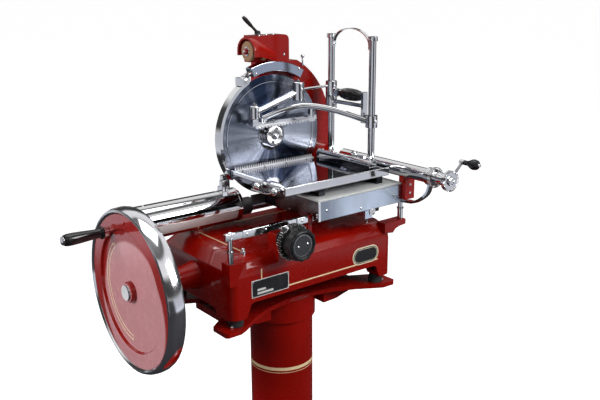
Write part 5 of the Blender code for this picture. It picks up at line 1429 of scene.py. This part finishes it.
@dataclass
class Tray(Assembly):
    """Side plate, ball knobs, locking rod, teeth, lips and screws of the tray."""

    left: float = -0.105

    def build(self) -> None:
        """Dress the tray."""
        face = self.left - 0.0022
        add_blocks("tray_body", DARK,
                   ("tray_side_plate", (face, -0.1655, 1.0560), (self.left + 0.0004, -0.0300, 1.0745), 0.0010))
        self.fasten("tray_knob", "tray_body", Facing.LEFT, 0.0095, (self.left - 0.0155, -0.1400, 1.0700),
                    (self.left - 0.0155, -0.0700, 1.0700), kind=Head.BALL)
        self.fasten("tray_plate_screw", "tray_body", Facing.LEFT, 0.0034, (face, -0.1600, 1.0680),
                    (face, -0.1050, 1.0640), (face, -0.0420, 1.0660))
        rod = Shape.bar("tray_locking_rod", 0.0024, (self.left - 0.010, -0.1340, 1.0660),
                        (self.left - 0.008, -0.0980, 1.0560), (self.left - 0.007, -0.0350, 1.0545))
        rod.dressed("tray_body", CHROME)
        teeth = Saw(left=-0.0960, right=0.1660, first=-0.0940, teeth=36, pitch=0.0071, peak=0.0071 * 0.45,
                    foot=0.0071 * 0.62, back=1.0773, root=1.0802, tip=1.0890)
        teeth.strip("meat_teeth", 0.0620, 0.0030).dressed("tray_body", TEETH, ["toothed_strip"])
        edge = self.left - 0.0030
        add_blocks("tray_body", CHROME,
                   ("tray_lip_left", (edge, -0.1670, 1.0738), (self.left + 0.0060, 0.0500, 1.0826), 0.0014),
                   ("tray_lip_front", (edge, -0.1672, 1.0620), (0.2290, -0.1640, 1.0826), 0.0014))
        self.fasten("strip_screw", "tray_body", Facing.FRONT, 0.0022,
                    *((x, 0.0620, 1.0795) for x in (-0.07, 0.0, 0.07, 0.14)))
        self.fasten("fence_bolt", "tray_body", Facing.UP, 0.0036, (0.185, -0.1400, 1.1005), (0.185, 0.0480, 1.1005))


@dataclass
class Guards(Assembly):
    """Clamps of the ring guard, the dark link, and the ball pin of the top guard."""

    def build(self) -> None:
        """Dress both guards."""
        clamp = Shape.block("ring_clamp_low", (-0.1360, 0.0600, 1.0300), (-0.1130, 0.0740, 1.0600), 0.0016)
        clamp.plus(Shape.block("ring_clamp_low_foot", (-0.1340, 0.0620, 1.0180), (-0.1190, 0.0760, 1.0320), 0.0012))
        clamp.dressed("frame", CHROME)
        # Dark strip painted as the shade in the clamp's slit
        add_blocks("frame", DARK, ("ring_clamp_slit", (-0.1275, 0.0592, 1.0310), (-0.1250, 0.0606, 1.0590), 0.0002))
        self.fasten("ring_clamp_bolt", "frame", Facing.FRONT, 0.0036, (-0.1312, 0.0600, 1.0530),
                    (-0.1190, 0.0600, 1.0400), kind=Head.HEX)
        add_turned("frame", CHROME, Axis.Y, (
            "ring_knuckle", (-0.0500, 0.0645, 1.3040), 40,
            [(0.0100, -0.0010), (0.0112, 0.0), (0.0112, 0.0210), (0.0100, 0.0225), (0.0, 0.0225)]))
        self.fasten("knuckle_bolt", "frame", Facing.FRONT, 0.0062, (-0.0500, 0.0639, 1.3040), kind=Head.HEX)
        link = Shape.bar("guard_link", 0.0052, (-0.0500, 0.0640, 1.3150), (-0.0440, 0.0640, 1.3210),
                         (-0.0330, 0.0650, 1.3230))
        link.dressed("frame", DARK)
        self.fasten("guard_ball", "frame", Facing.UP, 0.0052, (0.1500, 0.0900, 1.3520), kind=Head.BALL)
        add_turned("frame", CHROME, Axis.Z, (
            "guard_pin", (0.1500, 0.0900, 1.3480), 20, [(0.0020, -0.022), (0.0020, 0.0), (0.0, 0.0)]))
        self.fasten("guard_screw", "frame", Facing.FRONT, 0.0036, (-0.020, 0.0652, 1.3190), (0.118, 0.0652, 1.3230))


@dataclass
class BladeHub(Assembly):
    """Hub plate, cap and screw on the blade's face, dark slabs painted as the shade in the cap's windows, and the line
    of its bevel.
    """

    face: float = 0.0790
    front: float = 0.0625
    windows: int = 4

    def build(self) -> None:
        """Dress the hub."""
        x, _, z = BLADE_CENTRE
        add_turned("blade_body", POLISHED, Axis.Y, (
            "hub_plate", (x, self.face, z), 96,
            [(0.0305, 0.0002), (0.0400, 0.0002), (0.0404, -0.0006), (0.0396, -0.0012), (0.0305, -0.0012)]
        ), (
            "blade_bevel_line", (x, self.face, z), 160,
            [(0.1385, 0.0001), (0.1400, 0.0001), (0.1398, -0.0004), (0.1387, -0.0004)]))
        add_turned("blade_body", HUB, Axis.Y, (
            "hub_cap", (x, self.front, z), 96,
            [(0.0296, 0.0165), (0.0304, 0.0040), (0.0292, 0.0004), (0.0268, -0.0010), (0.0250, -0.0008),
             (0.0240, 0.0006), (0.0118, 0.0010), (0.0108, -0.0010), (0.0092, -0.0026), (0.0, -0.0030)]))
        # Painted shade: a dark slab stands for each window of the cap
        for step in range(self.windows):
            slot = Shape.block(f"hub_window_{step}", (0.0135, -0.0005, -0.0042), (0.0222, 0.0008, 0.0042), 0.0012, 2)
            slot.spun(math.radians(20 + 90 * step), Axis.Y, (0, 0, 0))
            slot.item.location = (x, self.front + 0.0006, z)
            slot.settle().dressed("blade_body", DARK)
        self.fasten("hub_screw", "blade_body", Facing.FRONT, 0.0052, (x, self.front - 0.0029, z))


@dataclass
class Clamp(Assembly):
    """Caps, collars, bolts, teeth and the wing lever of the meat clamp."""

    posts: tuple[tuple[str, float], ...] = (("back", 0.047), ("front", -0.112))
    foot: tuple[float, float] = (0.216, -0.046)

    def build(self) -> None:
        """Dress the posts, sliders and arm."""
        add_turned("tray_body", CHROME, Axis.Z, *(
            (f"post_collar_{side}_{int(level * 10)}", (POST_X, y, level), 48,
             [(0.0088, 0.0), (wide - 0.0006, 0.0), (wide, 0.0008), (wide, 0.0040), (wide - 0.0006, 0.0048),
              (0.0088, 0.0048)])
            for side, y in self.posts for level, wide in ((1.0832, 0.0145), (1.3995, 0.0128))))
        self.fasten("arch_screw", "tray_body", Facing.FRONT, 0.0035, (POST_X, -0.1035, 1.3830),
                    (POST_X, 0.0340, 1.3830), kind=Head.ROUND)
        self.fasten("slider_screw", "clamp", Facing.FRONT, 0.0040, (POST_X, 0.0316, 1.2700), kind=Head.HEX)
        self.fasten("slider_screw_b", "clamp", Facing.FRONT, 0.0040, (POST_X, 0.0316, 1.2200), kind=Head.HEX)
        teeth = Saw(left=-0.0350, right=0.1650, first=-0.0340, teeth=20, pitch=0.0099, peak=0.0045, foot=0.0064,
                    back=1.1910, root=1.1865, tip=1.1810)
        teeth.strip("presser_teeth", 0.0488, 0.0014).dressed("clamp", TEETH)
        self.fasten("bridge_screw", "clamp", Facing.FRONT, 0.0052, (POST_X, -0.1275, 1.1955), kind=Head.HEX)
        self._barrel("left", (-0.049, 0.035), 0.0128, 1.2105, 1.2455)
        self._barrel("right", (0.091, 0.034), 0.0152, 1.2445, 1.2935)
        self._wing()

    def _barrel(self, side: str, place: tuple[float, float], radius: float, low: float, high: float) -> None:
        """Round casting with a groove round its middle at one end of the link, with its cap and bolt.

        Args:
            side: which end.
            place: its middle along X and Y.
            radius: of the barrel.
            low: its lower face.
            high: its upper face.
        """
        tall, half = high - low, (high - low) / 2
        add_turned("clamp", CHROME, Axis.Z, (
            f"link_barrel_{side}", (*place, low), 56,
            [(radius - 0.003, 0.0), (radius - 0.0012, 0.0012), (radius, 0.004), (radius, half - 0.003),
             (radius - 0.0008, half), (radius, half + 0.003), (radius, tall - 0.004), (radius - 0.0012, tall - 0.0012),
             (radius - 0.003, tall), (0.0, tall)]))
        self.fasten("link_cap", "clamp", Facing.UP, 0.0056, (*place, high), kind=Head.HEX)
        self.fasten("link_bolt", "clamp", Facing.FRONT, 0.0042,
                    (place[0], place[1] - radius + 0.0004, low + half + 0.006), kind=Head.HEX)

    def _wing(self) -> None:
        """Small rod and wing lever at the posts' foot."""
        x, y = self.foot
        add_turned("tray_body", CHROME, Axis.Z, (
            "wing_rod", (x, y, 1.0765), 40,
            [(0.0075, 0.0), (0.0078, 0.004), (0.0062, 0.006), (0.0062, 0.020), (0.0070, 0.022), (0.0070, 0.026),
             (0.0050, 0.029), (0.0, 0.0295)]
        ), (
            "wing_collar", (x, y, 1.1000), 40, [(0.0080, -0.0030), (0.0086, 0.0), (0.0080, 0.0030), (0.0, 0.0030)]))
        lever = Shape.bar("wing_lever", 0.0042, (x, y, 1.0950), (x, -0.068, 1.0960), (x, -0.087, 1.0975))
        lever.dressed("tray_body", CHROME)


@dataclass
class Feed(Assembly):
    """Knurled rings and end nut of the feed, and the screws of its strap."""

    centre: Point = (FEED_X, -0.2790, FEED_LEVEL)
    ring: float = 0.0256
    teeth: int = 48

    def build(self) -> None:
        """Dress the feed screw's outer end."""
        x, y, z = self.centre
        for name, place, wide in (("feed_ring_inner", -0.0060, 0.0090), ("feed_ring_outer", -0.0560, 0.0085)):
            tooth = Shape.block(name + "_tooth", (x - 0.0007, y + place - wide, z + self.ring - 0.0012),
                                (x + 0.0007, y + place, z + self.ring + 0.0006), 0.0003, 1)
            tooth.ringed(name, self.teeth, self.centre, "screw", CHROME)
        self.fasten("feed_end_nut", "screw", Facing.FRONT, 0.0085, (x, -0.3450, z), kind=Head.HEX)
        self.fasten("strap_screw", "carriage", Facing.FRONT, 0.0030, (0.2600, -0.2784, 1.056),
                    (0.2760, -0.2784, 1.088))


@dataclass
class Sharpener(Assembly):
    """Washer and nuts on the grinding wheel, hood screws and the lever's boss."""

    wheel: Point = (-0.0305, 0.0900, 1.3745)

    def build(self) -> None:
        """Dress the sharpener."""
        x, y, z = self.wheel
        add_turned("stone", CHROME, Axis.X, (
            "stone_washer", self.wheel, 48, [(0.0120, 0.0004), (0.0120, -0.0012), (0.0112, -0.0020), (0.0, -0.0021)]))
        self.fasten("stone_nut", "stone", Facing.LEFT, 0.0078, (x - 0.0018, y, z), kind=Head.HEX)
        self.fasten("stone_centre", "stone", Facing.LEFT, 0.0034, (x - 0.0078, y, z), kind=Head.ROUND)
        self.fasten("hood_screw", "frame", Facing.UP, 0.0050, (0.040, 0.1050, 1.4113), (0.062, 0.1050, 1.4113),
                    kind=Head.ROUND)
        self.fasten("hood_side_screw", "frame", Facing.FRONT, 0.0034, (0.090, 0.0925, 1.3600),
                    (0.060, 0.0925, 1.3600))
        add_turned("frame", CHROME, Axis.Z, (
            "lever_boss", (0.0230, 0.1160, 1.4105), 40,
            [(0.0095, 0.0), (0.0092, 0.0035), (0.0070, 0.0045), (0.0, 0.0046)]))


@dataclass
class CadDressing:
    """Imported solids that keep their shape: each gets a rounded copy with its finish."""

    edge: dict[str, float] = field(default_factory=lambda: {
        "base_casting": 0.0022, "blade_stand": 0.004, "chain_cover": 0.003, "pedestal_head": 0.0025,
        "sharpener_housing": 0.002, "feed_block": 0.0018, "carriage_frame": 0.0008, "carriage_top_plate": 0.0008,
        "front_rail": 0.0007, "tray": 0.0007, "tray_fence": 0.0006, "toothed_strip": 0.0001, "post_arch": 0.0003,
        "presser_arm": 0.0006, "clamp_link": 0.0026, "clamp_bridge": 0.0009, "clamp_slider": 0.0008,
        "ring_guard": 0.0012, "top_guard": 0.0016, "feed_end_bracket": 0.0007, "slide_sleeve": 0.0006,
        "dial_housing": 0.0, "thickness_knob": 0.0007, "feed_wheel": 0.0005, "guide_tube": 0.0005,
        "drive_pin": 0.0005, "crank_bracket": 0.001, "cross_shaft_bracket": 0.001, "connecting_rod": 0.0008,
        "handle_spindle": 0.0006, "rail_roller": 0.0005})
    finishes: dict[str, Finish] = field(default_factory=lambda: {
        "enamel": ENAMEL, "chrome": CHROME, "blade_steel": BLADE, "steel": STEEL, "cast_iron": IRON,
        "bronze": BRONZE, "black_plastic": PLASTIC, "rubber": RUBBER, "stone": STONE,
        "white_plate": SATIN_PLATE})
    special: dict[str, Finish] = field(default_factory=lambda: {
        "handle_spindle": POLISHED, "main_shaft": POLISHED, "blade_shaft": POLISHED, "handle_grip": GLOSSY,
        "clamp_handle": GLOSSY, "feed_crank_knob": GLOSSY, "flywheel_disc": WHEEL_PAINTED_REFLECTION, "carriage_frame": BRUSHED,
        "top_guard": SMOKED, "tray": TRAY_PAINTED_DARK,
        "flywheel_rim": SOFT, "main_shaft_bearing": SHADED})

    def build(self, taken: set[str]) -> None:
        """Dress every node that no other piece stands for.

        Args:
            taken: nodes that are already replaced.
        """
        slots = {part["node"]: part["material_slot"] for part in frame["record"]["subparts"]}
        groups = frame["record"]["behaviour"]["bodies"]
        body_of = {node: body for body, nodes in groups.items() for node in nodes}
        for node in sorted(frame["nodes"]):
            if node in taken:
                continue
            shape = Shape.from_cad(node, node + "_dressed")
            width = self.edge.get(node, 0.0004)
            if width:
                shape.rounded(width)
            shape.dressed(body_of[node], self.special.get(node, self.finishes[slots[node]]), [node])


@dataclass
class Studio:
    """Pale floor, soft lights and the photograph's camera."""

    camera_place: Point = (-1.186, -1.579, 1.552)
    heading: float = -38.44
    dip: float = 15.65
    roll: float = -0.34
    lens: float = 47.52
    floor_size: float = 240.0
    # Shiny surfaces see this many cards on the floor, turned by this angle, beyond this distance
    cards: float = 4.0
    cards_turn: float = 0.73
    cards_reach: tuple[float, float] = (2.6, 3.4)
    # (height as a share from straight down to straight up, brightness) of the room
    room: tuple[tuple[float, float], ...] = (
        (0.0, 0.3), (0.50, 0.5), (0.54, 0.05), (0.70, 0.06), (0.76, 0.95), (0.88, 0.85), (0.91, 0.12), (1.0, 0.30))
    # name, place, target, side, power and whether shiny surfaces show it
    lights: tuple[tuple[str, Point, Point, float, float, bool], ...] = (
        ("key_softbox", (1.2, -2.4, 2.5), (0.0, 0.0, 0.95), 1.4, 66.0, True),
        ("left_softbox", (-2.6, 0.2, 1.7), (-0.2, 0.0, 1.0), 1.5, 44.0, False),
        ("top_softbox", (0.2, 0.2, 3.3), (0.0, 0.0, 1.0), 1.6, 17.0, True))

    def build(self) -> None:
        """Set up everything that isn't the object."""
        self._floor()
        self._world()
        for light in self.lights:
            self._light(*light)
        self._camera()
        bpy.context.scene.view_settings.view_transform = "Standard"

    def _floor(self) -> None:
        """A wide flat floor: the camera sees it plain and pale, shiny surfaces see four bright cards on it."""
        release_all()
        bpy.ops.mesh.primitive_plane_add(size=self.floor_size, location=(0, 0, 0))
        floor = Shape("studio_floor").settle()
        paint = Paint("pale_studio_floor")
        grain = paint.noise(3.0, 3.0)
        seen = Signal(paint, paint.node("ShaderNodeLightPath").outputs["Is Camera Ray"])
        across, along, _ = paint.split()
        reach = (across * across + along * along) ** 0.5
        cards = (along.angle(across) * self.cards - self.cards_turn).sine().ease(-0.5, 0.35, 0.03, 1.0)
        flag = (reach.ease(*self.cards_reach) * cards).at_most(1.0)
        held_back = paint.mix(flag, (0.02, 0.02, 0.024), (0.74, 0.76, 0.82))
        floor.item.data.materials.append(paint.coat(
            Base_Color=paint.mix(seen, held_back, paint.mix(grain, (0.90, 0.90, 0.90), (0.93, 0.93, 0.93))),
            Emission_Color=paint.mix(seen, paint.mix(flag, (0.0, 0.0, 0.0), (0.22, 0.23, 0.26)),
                                     (0.62, 0.62, 0.62)),
            Emission_Strength=1.0, Roughness=grain.ease(0.3, 0.7, 0.75, 0.85)))

    def _world(self) -> None:
        """A white room with dark bands, which give bright metal its dark lines."""
        world = bpy.data.worlds.new("white_room")
        world.use_nodes = True
        bpy.context.scene.world = world
        tree = world.node_tree
        background = tree.nodes["Background"]
        coordinates = tree.nodes.new("ShaderNodeTexCoord")
        split = tree.nodes.new("ShaderNodeSeparateXYZ")
        ramp = tree.nodes.new("ShaderNodeValToRGB")
        spread = tree.nodes.new("ShaderNodeMapRange")
        spread.inputs["From Min"].default_value = -1.0
        tree.links.new(coordinates.outputs["Generated"], split.inputs[0])
        tree.links.new(split.outputs["Z"], spread.inputs["Value"])
        tree.links.new(spread.outputs["Result"], ramp.inputs["Fac"])
        Paint.set_stops(ramp.color_ramp, [(place, (value, value, value)) for place, value in self.room])
        tree.links.new(ramp.outputs["Color"], background.inputs["Color"])
        background.inputs["Strength"].default_value = 0.9

    @staticmethod
    def _light(name: str, place: Point, target: Point, size: float, power: float, mirrored: bool) -> None:
        """Hang one square softbox that faces a point.

        Args:
            name: the light's name.
            place: its middle.
            target: the point that it faces.
            size: its side in metres.
            power: in watts.
            mirrored: whether shiny surfaces show it.
        """
        data = bpy.data.lights.new(name, "AREA")
        data.shape = "SQUARE"
        data.size = size
        data.energy = power
        item = bpy.data.objects.new(name, data)
        bpy.context.collection.objects.link(item)
        item.location = place
        item.visible_glossy = mirrored
        item.rotation_euler = (Vector(target) - Vector(place)).to_track_quat("-Z", "Y").to_euler()

    def _camera(self) -> None:
        """Stand the camera where the photograph was taken from."""
        heading, dip, roll = (math.radians(angle) for angle in (self.heading, self.dip, self.roll))
        forward = Vector((-math.sin(heading) * math.cos(dip), math.cos(heading) * math.cos(dip), -math.sin(dip)))
        level = Vector((math.cos(heading), math.sin(heading), 0.0))
        above = level.cross(forward)
        right = math.cos(roll) * level + math.sin(roll) * above
        up = -math.sin(roll) * level + math.cos(roll) * above
        data = bpy.data.cameras.new("photograph")
        data.lens = self.lens
        data.sensor_width = 36.0
        item = bpy.data.objects.new("photograph", data)
        item.matrix_world = Matrix((
            (right.x, up.x, -forward.x, self.camera_place[0]),
            (right.y, up.y, -forward.y, self.camera_place[1]),
            (right.z, up.z, -forward.z, self.camera_place[2]), (0, 0, 0, 1)))
        bpy.context.collection.objects.link(item)
        bpy.context.scene.camera = item


def main() -> None:
    """Build every sub-assembly and report it."""
    logging.basicConfig(level=logging.INFO, format="%(name)s %(message)s")
    Studio().build()
    CadDressing().build(taken={"handle_grip", "toothed_strip"})
    drawer = Fasteners()
    for assembly in (BaseTrim, Flywheel, Dial, Rail, Tube, Carriage, Tray, Guards, BladeHub, Clamp, Feed, Sharpener):
        log.info("sub-assembly %s", assembly.__name__)
        assembly(drawer).build()
    drawer.clear()
    log.info("%d pieces", Shape.made)


if __name__ == "__main__":
    main()
